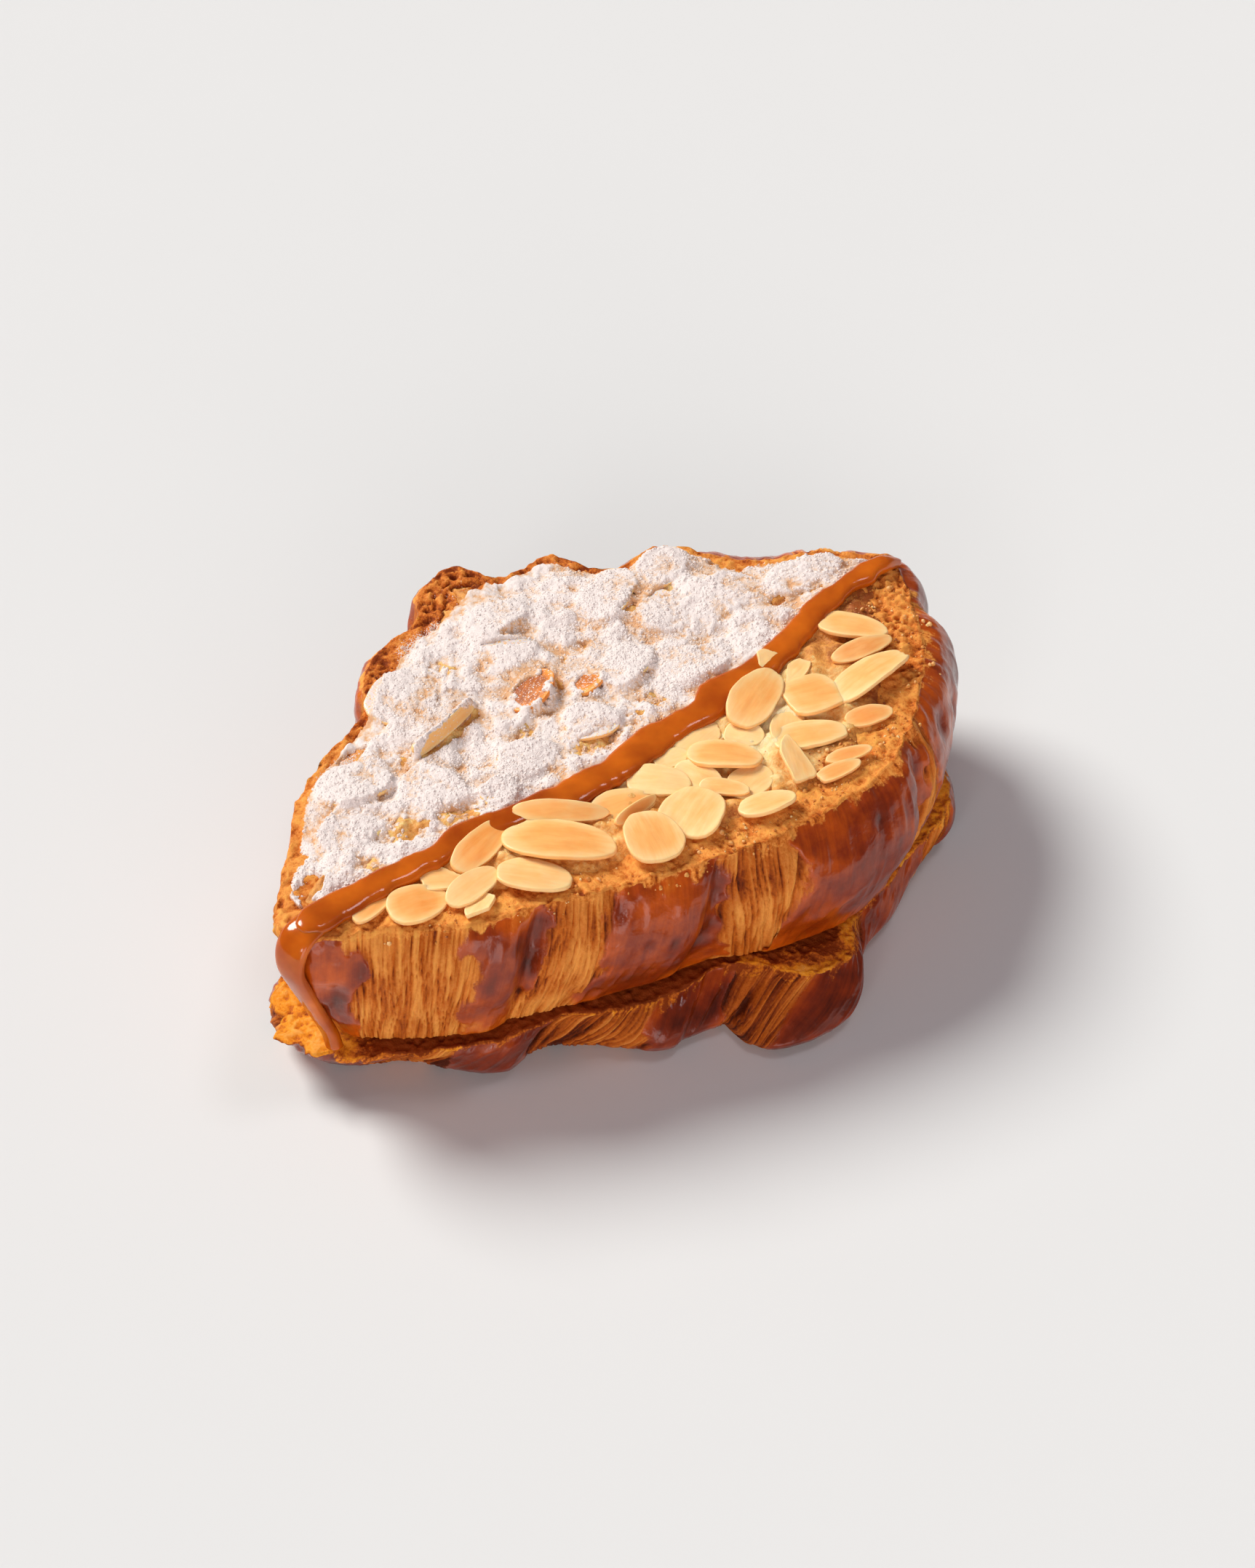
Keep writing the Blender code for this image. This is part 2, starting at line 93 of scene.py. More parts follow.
ROW_CROWDING = 1.3  # the wall's rows lie closer towards the rim
MIDDLE_ROWS = 5  # rows of the cut face under the frangipane
MIDDLE_SPAN = (0.15, 0.85)
BASE_SHARES = (0.7, 0.35)  # rows of the base, as shares of the way out
MARK_LIMIT = 3.0  # how far from a border its marks still tell, millimetres
SKIN_EDGE = (-0.6, 0.7)  # from bare layers to full glaze, across the border of a skin
CURL_SPAN = ((82, 86), (100, 95))  # where along the rim the layers curl, from both ends
PIT_SQUASH = 0.7  # burst bubbles are taller than wide
LOWER_RISE = 0.25  # how far the lower crumb may stand over its cut
PAGE_KINDS = ((1, 21), (0.52, 31), (2.3, 36))  # layers, thinner ones in them and folds: width, seed

# Unevenness: the strength, the size of the swells and the seed of each noise in it
PANEL_FRAY = ((3.2, (13, 8), 10), (1.8, (4.5, 4), 11), (1, 1.8, 12))
LAYER_DRIFT = ((0.9, (6, 14), 58), (0.16, (2.5, 6), 59))
TORN_LAYERS = ((1, (1.5, 6), 38), (0.5, (0.8, 2.6), 39))
LAYER_TONE = ((0.22, (5, 6), 57),)
GLAZE_RELIEF = ((0.3, 7, 41), (0.24, 2.8, 42))
GLAZE_CREASE = ((2.6, 6), 40)
WALL_SWELL = ((0.3, 12, 43),)
RIM_FRAY = ((0.35, 2.6, 51), (0.25, 1.1, 52))
RIM_LIP = ((0.35, 3.1, 53), (0.3, 1.3, 54))
CRUMB_SPILL = ((1.2, 3, 55), (0.8, 1.2, 56))
CRUMB_ROUGH = ((0.45, 3.3, 61), (0.42, 1.5, 62), (0.36, 0.85, 63))
CREAM_FINE = ((0.3, 1.7, 82), (0.22, 0.9, 83))
STRIPE_NEAR = ((0.35, 3.2, 91), (0.15, 1.3, 92))
STRIPE_FAR = ((0.3, 4, 93), (0.12, 1.2, 94))
STRIPE_SWELL = ((0.12, 7, 95),)
SUGAR_EDGE = ((0.9, 3, 101), (0.4, 1, 102))
SUGAR_CLUMPS = ((0.15, 0.9, 104), (0.5, 3.2, 105))
SUGAR_PATCHES = ((0.36, 7, 107), (0.3, 2.8, 108))

# Parts of the cut faces: where each starts and where it is full, along X and then along Y
TORN_TIP = (-62, -72)
FAR_CRUMB = ((36, 30), (18, 32))
RIGHT_END = ((54, 62), (2, -6))
DUSTED_RIGHT, DUSTED_LEFT, DUSTED_FAR = (80, 70), (-79, -60), (-2, 12)
LEFT_SIDE = ((6, -8),)
# where the lower crumb gets painted shade behind the tip and near the rim, and painted light on its lit tip
PAINTED_SHADE_BEHIND_TIP = ((-71, -63),)
PAINTED_SHADE_NEAR_RIM = (None, (-14, -24))
PAINTED_LIGHT_TIP = ((-60, -72),)
BROWN_CREAM = (42, 52)
PALE_CREAM = ((26, -27, 16, 8, 1), (2, -20, 9, 4, 0.8))  # middle, half sizes and strength


def linear(code):
    """The linear colour of an sRGB hex code."""
    parts = [int(code[place : place + 2], 16) / 255 for place in (1, 3, 5)]
    return tuple(part / 12.92 if part <= 0.04045 else ((part + 0.055) / 1.055) ** 2.4 for part in parts)


@dataclass
class Half:
    """One half of the roll: the rim of its cut face, the foot of its wall and what joins them."""

    outline: list  # rim x, rim y, foot x, foot y, anticlockwise from the left tip
    cut_z: float
    foot_z: float
    turn_under: tuple  # inset from the foot and height of each row below it
    belly: dict  # how far the wall swells past the line from rim to foot, by compass angle
    belly_at: dict  # the share of the wall's depth at which it swells most
    seams: list  # compass angles of the grooves between the turns
    seam_share: float
    panels: list  # where the glazed outer skins start and end, along the rim
    pits: list  # along the rim, down the wall, radius and depth of each burst bubble
    around: int
    wall_rows: int
    crumb_rows: int
    far_rise: float = 0.0
    curl: float = 0.0  # how far the layers lean over where the wall curls
    darker: float = 0.0  # how much darker the crust of this half is
    tip_fray: float = 0.0  # how much more ragged the left tip is
    bites: tuple = ()  # along the rim, radius and depth of each notch (below 0: a point)


UPPER = Half(
    outline=[
        (-77, -10, -69, -13), (-72, -14, -67, -17.5), (-62, -19, -60.5, -23), (-50, -28, -50, -30),
        (-36, -34, -36.5, -35), (-20, -40, -21, -40.5), (-5, -45, -6, -45.5), (10, -49, 9, -51.5),
        (25, -50, 25, -54.5), (39, -48.5, 40, -50.5), (52, -42, 52, -45), (65, -31, 66, -33),
        (74, -18, 76, -19), (80, -7, 79, -8), (77, 0, 76, 0), (67, 8, 66, 8), (58, 13, 57, 13),
        (51, 22, 50, 21), (46, 28, 45, 27), (36, 28, 35, 27), (31, 33, 30, 32), (26, 40, 25, 38),
        (15, 41, 14, 39), (10, 50, 10, 47), (0, 48, 0, 46), (-7, 42, -7, 40), (-20, 39, -19, 37),
        (-31, 28, -29, 27), (-42, 24, -40, 22), (-54, 18, -51, 16), (-64, 8, -59, 7), (-75, -3, -67, -4),
    ],
    cut_z=UPPER_CUT_Z,
    foot_z=13.2,
    turn_under=((1.2, 12.6), (3.0, 12.2), (9.0, UPPER_BASE_Z)),
    belly={-178: 1.0, -160: 3.0, -130: 5.0, -70: 5.0, -30: 5.0, -5: 5.6, 5: 4.6, 25: 3.0, 90: 2.0, 150: 2.0},
    belly_at={-60: 0.45, -10: 0.32, 20: 0.32, 60: 0.45, 180: 0.45},
    seams=[-138.3, -93.9, -46.3, -12.0, 24.0, 41.0, 70.0, 97.0, 133.0, 153.0],
    seam_share=1.0,
    panels=[
        (2, 12), (34, 47.5), (61, 84), (98, 135), (138.5, 172), (176, 196), (203, 226), (233, 247),
        (255, 271), (279, 299), (308, 327), (335, 347), (356, 378),
    ],
    pits=[
        (47.6, 7.0, 2.4, 1.6), (47.4, 13.0, 2.0, 1.4), (47.0, 19.0, 1.6, 1.2), (48.0, 2.5, 1.5, 1.0),
        (44.0, 5.0, 1.6, 0.7), (84.5, 7.5, 2.2, 1.5), (85.0, 13.0, 1.7, 1.2), (83.8, 3.0, 1.5, 1.0),
        (88.0, 6.0, 1.8, 1.1), (63.0, 3.0, 1.6, 0.8), (82.5, 17.0, 1.7, 1.0), (14.0, 6.0, 2.4, 1.0),
        (9.0, 13.0, 2.2, 0.8), (97.5, 16.0, 1.6, 0.8), (70.0, 12.0, 1.2, 0.5), (75.0, 11.5, 1.0, 0.5),
        (133.5, 6.0, 1.8, 0.9), (118.0, 5.0, 1.2, 0.5), (147.0, 6.0, 2.0, 0.8), (156.0, 9.0, 1.6, 0.7),
    ],
    around=1010,
    wall_rows=56,
    crumb_rows=30,
    far_rise=FAR_RISE,
    curl=6.0,
)

LOWER = Half(
    outline=[
        (-77.5, -5, -73, -3), (-76.5, -12, -71, -9.5), (-72, -18, -67, -14), (-63, -24, -59, -19.5),
        (-55, -29, -54, -26.5), (-46, -33.5, -47, -33.5), (-36, -36, -37, -34.5), (-27, -41, -29, -40.5),
        (-18, -45, -20, -49.5), (-8, -46.5, -13, -51), (-1, -47.5, -6, -53), (4, -52, -5.5, -59.5),
        (8, -58.5, -2, -64), (14, -61.5, 5, -66.5), (20, -60.5, 13, -66.5), (24, -56, 20, -61),
        (29, -53.5, 27, -55.5), (38, -51.5, 37, -53), (46, -49, 45, -48.5), (54, -47, 53, -45),
        (62, -43.5, 62, -42), (68, -36, 68, -35), (73, -26, 72, -25), (78, -14, 77, -14),
        (79, -3, 78, -3), (73, 4, 72, 4), (62, 11, 62, 12), (50, 21, 51, 22), (38, 28, 39, 30),
        (26, 37, 27, 39), (10, 42, 10, 45), (-6, 41, -6, 44), (-20, 36, -21, 38), (-34, 26, -35, 28),
        (-50, 17, -51, 19), (-66, 8, -66, 9), (-75, 1, -72, 3),
    ],
    cut_z=LOWER_CUT_Z,
    foot_z=3.0,
    turn_under=((0.5, 1.9), (1.2, 1.1), (2.4, 0.4), (4.0, 0.0)),
    belly={-178: 0.0, -150: 0.0, -120: 1.0, -30: 1.0, 180: 1.0},
    belly_at={0: 0.6},
    seams=[-133.0, -96.5, -62.0, -12.0, 41.0, 97.0, 133.0],
    seam_share=0.5,
    panels=[
        (4, 24), (39, 57), (77, 94), (110, 128), (133, 158), (166, 196), (202, 236), (244, 262),
        (274, 296), (304, 330), (340, 362), (370, 388),
    ],
    pits=[(57.0, 4.0, 2.0, 0.8), (94.0, 4.0, 1.8, 0.8), (101.0, 5.0, 1.4, 0.6), (30.0, 4.0, 1.6, 0.6)],
    around=1100,
    wall_rows=26,
    crumb_rows=32,
    darker=0.3,
    tip_fray=1.6,
    bites=((394.0, 1.3, 2.4), (0.0, 1.2, -1.3), (12.0, 1.4, 0.9), (4.5, 1.0, 0.8), (165.0, 1.2, 0.8)),
)

# The caramel stripe: along X, its near edge, its far edge
CARAMEL = [
    (-74.8, -13.2, -8), (-70, -13.3, -7.3), (-65, -13.3, -7.4), (-60, -13.5, -8), (-55, -13.6, -8.3),
    (-50, -14.2, -9.2), (-43, -14.6, -10), (-37, -14, -8.3), (-31, -15.4, -9.6), (-25, -17, -11.5),
    (-18, -18.6, -12), (-15, -19, -12.9), (-10, -19.2, -13.1), (-5, -19.8, -13.5), (1, -19.6, -12.6),
    (7, -18.4, -11.5), (13, -17.6, -12.2), (19, -18.4, -12.5), (24, -18.2, -10.2), (28, -17.4, -10),
    (34, -16.8, -11), (40, -15.6, -10), (46, -14.4, -8.8), (52, -12.4, -7), (57, -10.6, -5.8),
    (62, -9.4, -5.2), (67, -8.4, -4.8), (71, -8.8, -4.6), (76, -8.2, -5), (80.8, -8, -6.4),
]
CARAMEL_LIFT = 0.3
CARAMEL_TIP_X = 76.5
CARAMEL_SINK = 1.5
STRIPE_WIDER = (0.45, 0.3)  # the near and far edges lie this far outside the table
STRIPE_ROWS, STRIPE_SIDES = 420, 48
# The drip at the left tip: x, y, z along the end wall from the rim down, and its width
DRIP = [
    (-68, -10.5, 41.4, 6), (-72, -10.6, 42.2, 6.6), (-75.3, -10.8, 41.2, 7), (-77.3, -11.2, 38.6, 6.8),
    (-77.8, -11.6, 35, 6.2), (-76.6, -12, 30.5, 5.4), (-74.2, -12.8, 23, 4.2), (-72, -13.6, 16, 3.6),
    (-71.5, -14.4, 11.9, 3.8),
]
DRIP_THICK = 1.5
DRIP_ROWS, DRIP_SIDES = 120, 40
DRIP_ACROSS = (-0.2, 0.98, 0)


class Flake(NamedTuple):
    """A flaked almond: its middle, size, heading, roll about its length, pitch and height over the cream."""

    x: float
    y: float
    length: float
    width: float
    heading: float
    roll: float
    pitch: float
    lift: float
    tone: float = 0.5  # from pale yellow to golden, and above 1 with the nut's brown skin on
    breaks: tuple = ()  # direction in degrees, distance from the middle: straight broken edges


# On the bare side of the stripe
BARE_FLAKES = [
    (-53.5, -19, 12, 8.5, -15, 6, 4, 0.2, 0.85), (-61, -14.6, 9, 3.4, 5, 8, 0, 0, 0.7),
    (-46.5, -16.8, 10.5, 6, -35, 4, 3, 0.2, 0.4, ((200, 3.6), (60, 2.4))),
    (-35.5, -15.8, 16.5, 6.6, 12, 14, 0, 1.2, 0.9),
    (-45, -26.8, 8, 4.4, 20, -10, 0, 0.2, 0.3, ((0, 3), (230, 2))),
    (-43.5, -22.8, 12.5, 6, 4, 10, 0, 1.3, 0.3),
    (-33, -28.2, 14.5, 8.4, -48, -6, 6, 0.9, 0.35), (-24, -24.6, 21.5, 11, -46, -5, 3, 1.3, 0.75),
    (-19.5, -19.6, 18.5, 4.4, -39, 38, 4, 2.2, 0.6), (-8.5, -24.5, 13, 8, -20, 5, 0, 0.3, 0.7),
    (-10, -35, 12.6, 11.4, 70, 4, -5, 1.5, 0.65), (-7.6, -27.4, 11, 2.6, 4, 45, 0, 0.8, 0.8),
    (0.5, -34.8, 12.6, 12.2, 20, -4, -4, 0.9, 0.45), (1, -24.4, 12.5, 7.5, -48, 8, 0, 0.9, 0.2),
    (6.5, -20.6, 9, 5, -15, 0, 0, 0.2, 0.1, ((180, 3),)),
    (7.6, -28, 10.5, 6, -70, 12, 0, 0.6, 0.4), (14.8, -27.6, 14.5, 8.6, -46, -10, 0, 1.4, 0.7),
    (15, -19.6, 13, 8, 10, 4, 0, 0.3, 0.15, ((20, 4.6), (320, 4.4))),
    (14.5, -35.4, 10, 8, 5, 3, 0, 0.3, 0.3), (22, -25, 8, 6.5, -60, 10, 0, 0.3, 0.1),
    (29.6, -20, 17, 9.2, 22, 12, 0, 1.9, 0.65),
    (39.5, -25.8, 14, 12, -20, -4, 3, 0.7, 0.7, ((95, 5.2), (185, 6), (20, 5.6))),
    (30, -29, 10, 7, 40, 5, 0, 0.2, 0.35, ((20, 3.8),)),
    (31.5, -33.8, 15, 7.5, -28, -4, 0, 0.8, 0.5),
    (24, -38, 13, 7, 62, 14, -10, 1.5, 0.35, ((100, 2.6), (290, 2.2), (200, 4.4))),
    (9, -34, 10, 3.6, -50, 15, 0, 1.2, 0.5), (12.5, -42.4, 11.5, 6.2, -20, -10, -3, 0.7, 0.4),
    (51.5, -28.8, 20.5, 8, 3, -12, 0, 1.6, 0.55, ((4, 9.2),)),
    (55.5, -22.6, 13.5, 4.2, -12, 22, 0, 1.4, 0.85), (58.6, -16.4, 14.5, 8, -55, -8, 0, 1, 0.6),
    (41.5, -18.6, 9, 4.4, 15, 0, 0, 0.6, 0.3, ((10, 3.6), (120, 1.8))),
    (44, -37, 10, 4.2, -18, 20, 0, 0.6, 0.9), (33.6, -42.4, 9.8, 3, -18, 15, 0, 0.5, 0.85),
    (29.3, -44, 10.2, 3.4, -10, 10, 0, 0.2, 0.8, ((190, 4.4),)),
    (38.6, -13.6, 5, 5, 0, 20, 0, 1.8, 0.2, ((40, 2), (150, 2.1))),
]
# On the sugared side, most of them under the sugar
SUGARED_FLAKES = [
    (5, 30.6, 15, 9, -8, -5, 0, 0.7), (-22.5, 25, 15, 14, 40, 4, 0, 0.5),
    (-44, 12.5, 15, 11, -25, -5, 0, 1), (-52, 4, 13, 10, 30, 5, 0, 0.4),
    (-22, 12.2, 18.5, 6.5, 12, 62, 0, 1.8, 0.5, ((90, 1.4), (270, 1.5), (0, 8.8), (180, 8.8))),
    (-2, 10.5, 13, 9, 28, -18, 0, 1.4, 1.2),
    (8, 5.5, 8, 6.5, 10, -16, 0, 0.7, 1.12), (0.5, 21.5, 14, 10, -28, 6, 0, 0.7),
    (-14, -3.4, 12, 9, -12, 8, 0, 1.1), (1.5, -3.6, 11, 9, -30, 6, 0, 0.7),
    (27.5, 22, 17, 10, 25, -4, 0, 0.7), (41.5, 21.5, 13, 9, 10, 5, 0, 0.4),
    (28.5, -4.2, 15, 9, -12, -4, 0, 0.5), (17, 4, 14, 9, 12, -6, 0, 0.7),
    (45, 8, 16, 11, -10, 5, 0, 0.5), (62, 1.5, 18, 8, -12, 5, 0, 0.5),
    (-33, 2, 14, 10, -60, 4, 0, 0.4), (-24, -7, 8, 7, 20, 8, 0, 0.7),
    (33, 12, 13, 9, 60, 5, 0, 0.4),
]
ALMOND_POINT = 0.16
ALMOND_SAG = 0.012
FLAKE_SIDES = 48
FLAKE_SHOULDER = 2.25  # 2 for an ellipse, more for squarer ends
FLAKE_SEED = 100
FLAKE_SWELLS = ((0.07, 3), (0.04, 1.2))
# Across a flake, from the middle of its top round the edge to its underside: share of the way out, height
FLAKE_ROWS = (
    (0.25, 0.42), (0.5, 0.42), (0.76, 0.43), (0.9, 0.45), (0.955, 0.48), (0.986, 0.42), (0.999, 0.24),
    (1, 0), (0.992, -0.35), (0.95, -0.48), (0.6, -0.5),
)

FAR_SIDE = -4  # Y of the far rim, at least
SUGAR_SPAN = (-70, 77)
SUGAR_ROWS, SUGAR_COLUMNS = 450, 150
SUGAR_UNDER_CARAMEL = 0.7  # how far it reaches in under the stripe
SUGAR_INSET = 0.8  # how far it stays inside the far rim
SUGAR_ROOT = 1.1
ABOVE_ALL = 0.06  # a height over the whole croissant, metres
SUGAR_STEP = 0.33  # spacing of the sugar's grid
SUGAR_SMOOTHING = 12
VALLEY_SMOOTHING = 60
SUGAR_TOP = 46.6
# Where the icing sugar ends at the far side, along X
SUGAR_FAR = [
    (-73, -3), (-66, 4.5), (-60, 11), (-54, 16.8), (-48, 20), (-42, 22.3), (-36, 24), (-32, 26),
    (-28, 29), (-20, 34), (-12, 36.5), (-5, 38), (3, 40), (10, 42), (15, 44), (80, 44),
]
# Places the sugar missed or only dusted: x, y, half length, half width, heading, how much is missing
THIN_SUGAR = [
    (-2.5, 9.8, 5, 3.2, 28, 1.2), (7.8, 4.6, 3, 2.6, 10, 0.9), (-22, 11.3, 9.6, 1.1, 12, 1.8),
    (3.5, 11, 1.2, 3, 10, 1.2), (-39, 19.5, 3, 1.6, 0, 0.9), (-63, 5, 2.6, 1.5, 30, 0.8),
    (28, 16, 2.2, 1.2, 0, 0.7), (37, 16, 3, 1.2, 0, 0.7), (46, 13, 2, 1.2, 0, 0.7),
    (53, -0.5, 2, 1.2, 0, 0.9), (67.5, 4.5, 1.5, 1, 0, 0.9), (72.5, 4, 2, 1.2, 0, 0.9),
    (54.5, 15, 4, 3.5, 0, 0.75), (64.5, 7, 4, 2.2, 0, 0.75), (-66, -2, 3.4, 2.4, 20, 0.8),
    (-69, -6, 2.6, 2, 0, 0.9), (-46, -2, 6, 3, -10, 0.55), (-34, -6, 9, 2.4, -8, 0.55),
    (3, 23.5, 5.5, 0.8, -30, 0.9), (0, -8, 8, 2.2, -4, 0.5), (14, -6.5, 6, 2, 0, 0.45),
    (-33, 12, 3, 2, 0, 0.5), (-10, 3, 4, 1.6, 20, 0.45), (-12, 26, 3, 4, 0, 0.5),
    (12, 14, 4, 2, 20, 0.4), (60, -3, 4, 1.2, -10, 0.5), (-56, -6, 5, 2, 0, 0.4),
]

# Where crumbs and sugar grains fell: x, y, half sizes and share
CRUMB_SPOTS = [
    (-55, -23, 10, 4, 2), (-30, -33, 12, 3, 2), (-5, -42, 14, 4, 3), (14, -45, 14, 4, 3), (38, -42, 14, 5, 4),
    (58, -28, 9, 8, 3), (68, -16, 6, 10, 3), (10, -30, 40, 12, 2),
]
SUGAR_SPOTS = [(-45, 6, 28, 15, 3), (0, 12, 30, 24, 5), (45, 9, 32, 18, 4)]

# How many crumbs are tried, their least and greatest size and how far they stand out of their bed
CRUMBS = 700
CRUMB_SIZE = (0.3, 1.3)
CRUMB_LIFT = 0.12
CRUMB_DENTS = 0.16
# Grains on the icing sugar: piece, how many, least and greatest size, seed, and whether they are fine
GRAIN_KINDS = (("sugar_clumps", 7500, 0.4, 0.8, 9, False), ("sugar_grains", 22000, 0.24, 0.4, 12, True))
GRAIN_SINK = 0.15
GRAIN_DENTS = 0.1
TRIES = 1.4  # places tried for each grain, as some fall on bare almond

CAMERA_PLACE = (-0.3326, -0.3921, 0.5422)
CAMERA_TURN = (45, 0, -40.6)
LENS, SENSOR = 85, 36
FLOOR_SIZE = 3.0
SKY = (1.0, 0.82, 0.93, 1)
# Large softboxes far off: azimuth, elevation and width in degrees, which setting drives it and the
# share it takes, and its colour
LIGHTS = (
    ("key_softbox", 103, 43, 26, "key_power", 1.0, (1.0, 0.97, 0.93)),
    ("top_softbox", -25, 70, 14, "top_power", 1.0, (1.0, 0.92, 0.97)),
    ("front_reflector", -125, 12, 32, "front_power", 0.3, (1.0, 0.86, 0.84)),
    ("front_fill", -125, 8, 70, "front_power", 0.7, (1.0, 0.9, 0.86)),
    ("glint", -152, 26, 12, "glint_power", 1.0, (1.0, 0.93, 0.93)),
)

# Large odd numbers that stir the bits of a cell's number, and the shift before each
AXIS_PRIMES = (2654435761, 2246822519, 3266489917)
SEED_PRIME = 374761393
STIRRING = ((15, 668265263), (13, 1274126177))
LOW_BITS = 0xFFFFFF


def hashed(cell, seed=0):
    """A settled number from 0 to 1 for each whole-numbered cell."""
    mixed = np.full(cell.shape[:-1], SEED_PRIME * (seed + 1), np.uint64)
    for axis in range(cell.shape[-1]):
        mixed ^= cell[..., axis].astype(np.int64).astype(np.uint64) * np.uint64(AXIS_PRIMES[axis])
        for shift, prime in STIRRING:
            mixed ^= mixed >> np.uint64(shift)
            mixed *= np.uint64(prime)
    mixed ^= mixed >> np.uint64(16)
    return (mixed & np.uint64(LOW_BITS)).astype(float) / LOW_BITS


def noise(points, size, seed=0):
    """A smooth unevenness from -1 to 1, with swells of the given size in millimetres."""
    at = points / np.asarray(size, float)
    low = np.floor(at)
    share = at - low
    share = share**3 * (share * (share * 6 - 15) + 10)
    total = np.zeros(at.shape[:-1])
    for corner in np.ndindex(*(2,) * at.shape[-1]):
        corner = np.array(corner)
        weight = np.prod(np.where(corner, share, 1 - share), axis=-1)
        total += weight * hashed(low + corner, seed)
    return total * 2 - 1


def noises(points, layers):
    """The sum of several noises, each with its strength, size and seed."""
    return sum(strength * noise(points, size, seed) for strength, size, seed in layers)


def grain(points, size, seed=0, steps=3):
    """Noise with finer and finer noise on it."""
    turn = np.array(Euler((0.7, 0.4, 1.1)).to_matrix())[: points.shape[-1], : points.shape[-1]]
    total, strength, whole = 0, 1.0, 0
    for step in range(steps):
        total = total + strength * noise(points, size, seed + step)
        whole += strength
        points = points @ turn
        size, strength = size * 0.52, strength * 0.55
    return total / whole * 1.4


def pores(points, size, seed=0):
    """The distance to the nearest of scattered centres, as a share of their spacing."""
    at = points / np.asarray(size, float)
    low = np.floor(at)
    nearest = np.full(at.shape[:-1], 9.0)
    for step in np.ndindex(*(3,) * at.shape[-1]):
        cell = low + np.array(step) - 1
        centre = cell + np.stack([hashed(cell, seed + axis) for axis in range(at.shape[-1])], axis=-1)
        nearest = np.minimum(nearest, np.linalg.norm(at - centre, axis=-1))
    return nearest


def ease(low, high, value):
    """From 0 at low to 1 at high, smoothly."""
    share = np.clip((value - low) / (high - low), 0, 1)
    return share * share * (3 - 2 * share)


def within(flat, *edges):
    """From 0 to 1 into a part of the plan, given where it starts and is full along X and along Y."""
    return math.prod(ease(*edge, flat[..., axis]) for axis, edge in enumerate(edges) if edge)


def raised(flat, height):
    """The places of the plan at their heights."""
    height = np.broadcast_to(height, flat.shape[:-1])
    return np.concatenate([flat, height[..., None]], axis=-1)


def unit(vectors):
    """The vectors at a length of one."""
    return vectors / np.linalg.norm(vectors, axis=-1, keepdims=True)


def cubic(before, corner, after, beyond, u):
    """The smooth curve from corner (u = 0) to after (u = 1) that heeds their neighbours."""
    return (
        corner
        + 0.5 * u * (after - before)
        + u**2 * (before - 2.5 * corner + 2 * after - 0.5 * beyond)
        + u**3 * (1.5 * (corner - after) + 0.5 * (beyond - before))
    )


def open_curve(points, count):
    """Evenly spaced rows on a smooth curve through the given rows, with its ends on the first and last."""
    rows = np.asarray(points, float)
    padded = np.vstack([2 * rows[0] - rows[1], rows, 2 * rows[-1] - rows[-2]])
    at = np.linspace(0, len(rows) - 1 - 1e-9, count)
    start = at.astype(int)
    u = (at - start)[:, None]
    before, corner, after, beyond = (padded[start + step] for step in range(4))
    return cubic(before, corner, after, beyond, u)


class Rim:
    """The smooth outline of a half, walked anticlockwise from the left tip, closer on the near side."""

    def __init__(self, outline, count, crowded=True):
        corner = np.asarray(outline, float)
        before, after, beyond = (np.roll(corner, shift, axis=0) for shift in (1, -1, -2))
        dense = [cubic(before, corner, after, beyond, u) for u in np.linspace(0, 1, 40, endpoint=False)]
        path = np.stack(dense, axis=1).reshape(-1, corner.shape[1])
        path = np.vstack([path, path[:1]])
        step = np.linalg.norm(np.diff(path[:, :2], axis=0), axis=1)
        length = np.concatenate([[0], np.cumsum(step)])
        near = ease(6, -10, path[:-1, 1]) + ease(56, 66, path[:-1, 0])
        crowd = step * (0.8 + 0.7 * np.clip(near, 0, 1)) if crowded else step
        reach = np.concatenate([[0], np.cumsum(crowd)])
        self.perimeter = length[-1]
        self.along = np.interp(np.linspace(0, reach[-1], count, endpoint=False), reach, length)
        self.path, self.length = path, length
        self.rim = self.at(self.along)[:, :2]

    def outward(self, along):
        """The level direction out of the rim at the given distances along it."""
        tangent = self.at(along + SMOOTHING)[..., :2] - self.at(along - SMOOTHING)[..., :2]
        return unit(np.stack([tangent[..., 1], -tangent[..., 0]], axis=-1))

    def apart(self, spot):
        """How far each place lies past a spot, the shorter way round."""
        half_way = self.perimeter / 2
        return (self.along - spot + half_way) % self.perimeter - half_way

    def at(self, along):
        """The outline's rows at the given distances along it."""
        return np.stack([np.interp(along % self.perimeter, self.length, axis) for axis in self.path.T], axis=-1)


def by_compass(knots, angle):
    """Values between the knots of an {angle: value} table, round the full circle."""
    return np.interp(angle, list(knots), list(knots.values()), period=360)


def waves(x, y, size):
    """A gentle unevenness of about one, by place."""
    return (
        np.sin(x / size + 0.7) * np.cos(y / size * 1.3 + 0.4)
        + 0.6 * np.sin((x + 1.7 * y) / size * 1.9 + 2.1)
        + 0.4 * np.cos((1.3 * x - y) / size * 2.7 + 0.3)
    ) / 2


def cut_height(half, flat):
    """The height of the cut face at the given places."""
    swell = CRUMPLE * waves(flat[..., 0], flat[..., 1], 9.0)
    return half.cut_z + half.far_rise * ease(0, 45, flat[..., 1]) + swell


def compass_of(flat):
    """The compass angle of places seen from the middle of the cut face."""
    return np.degrees(np.arctan2(flat[..., 1], flat[..., 0]))


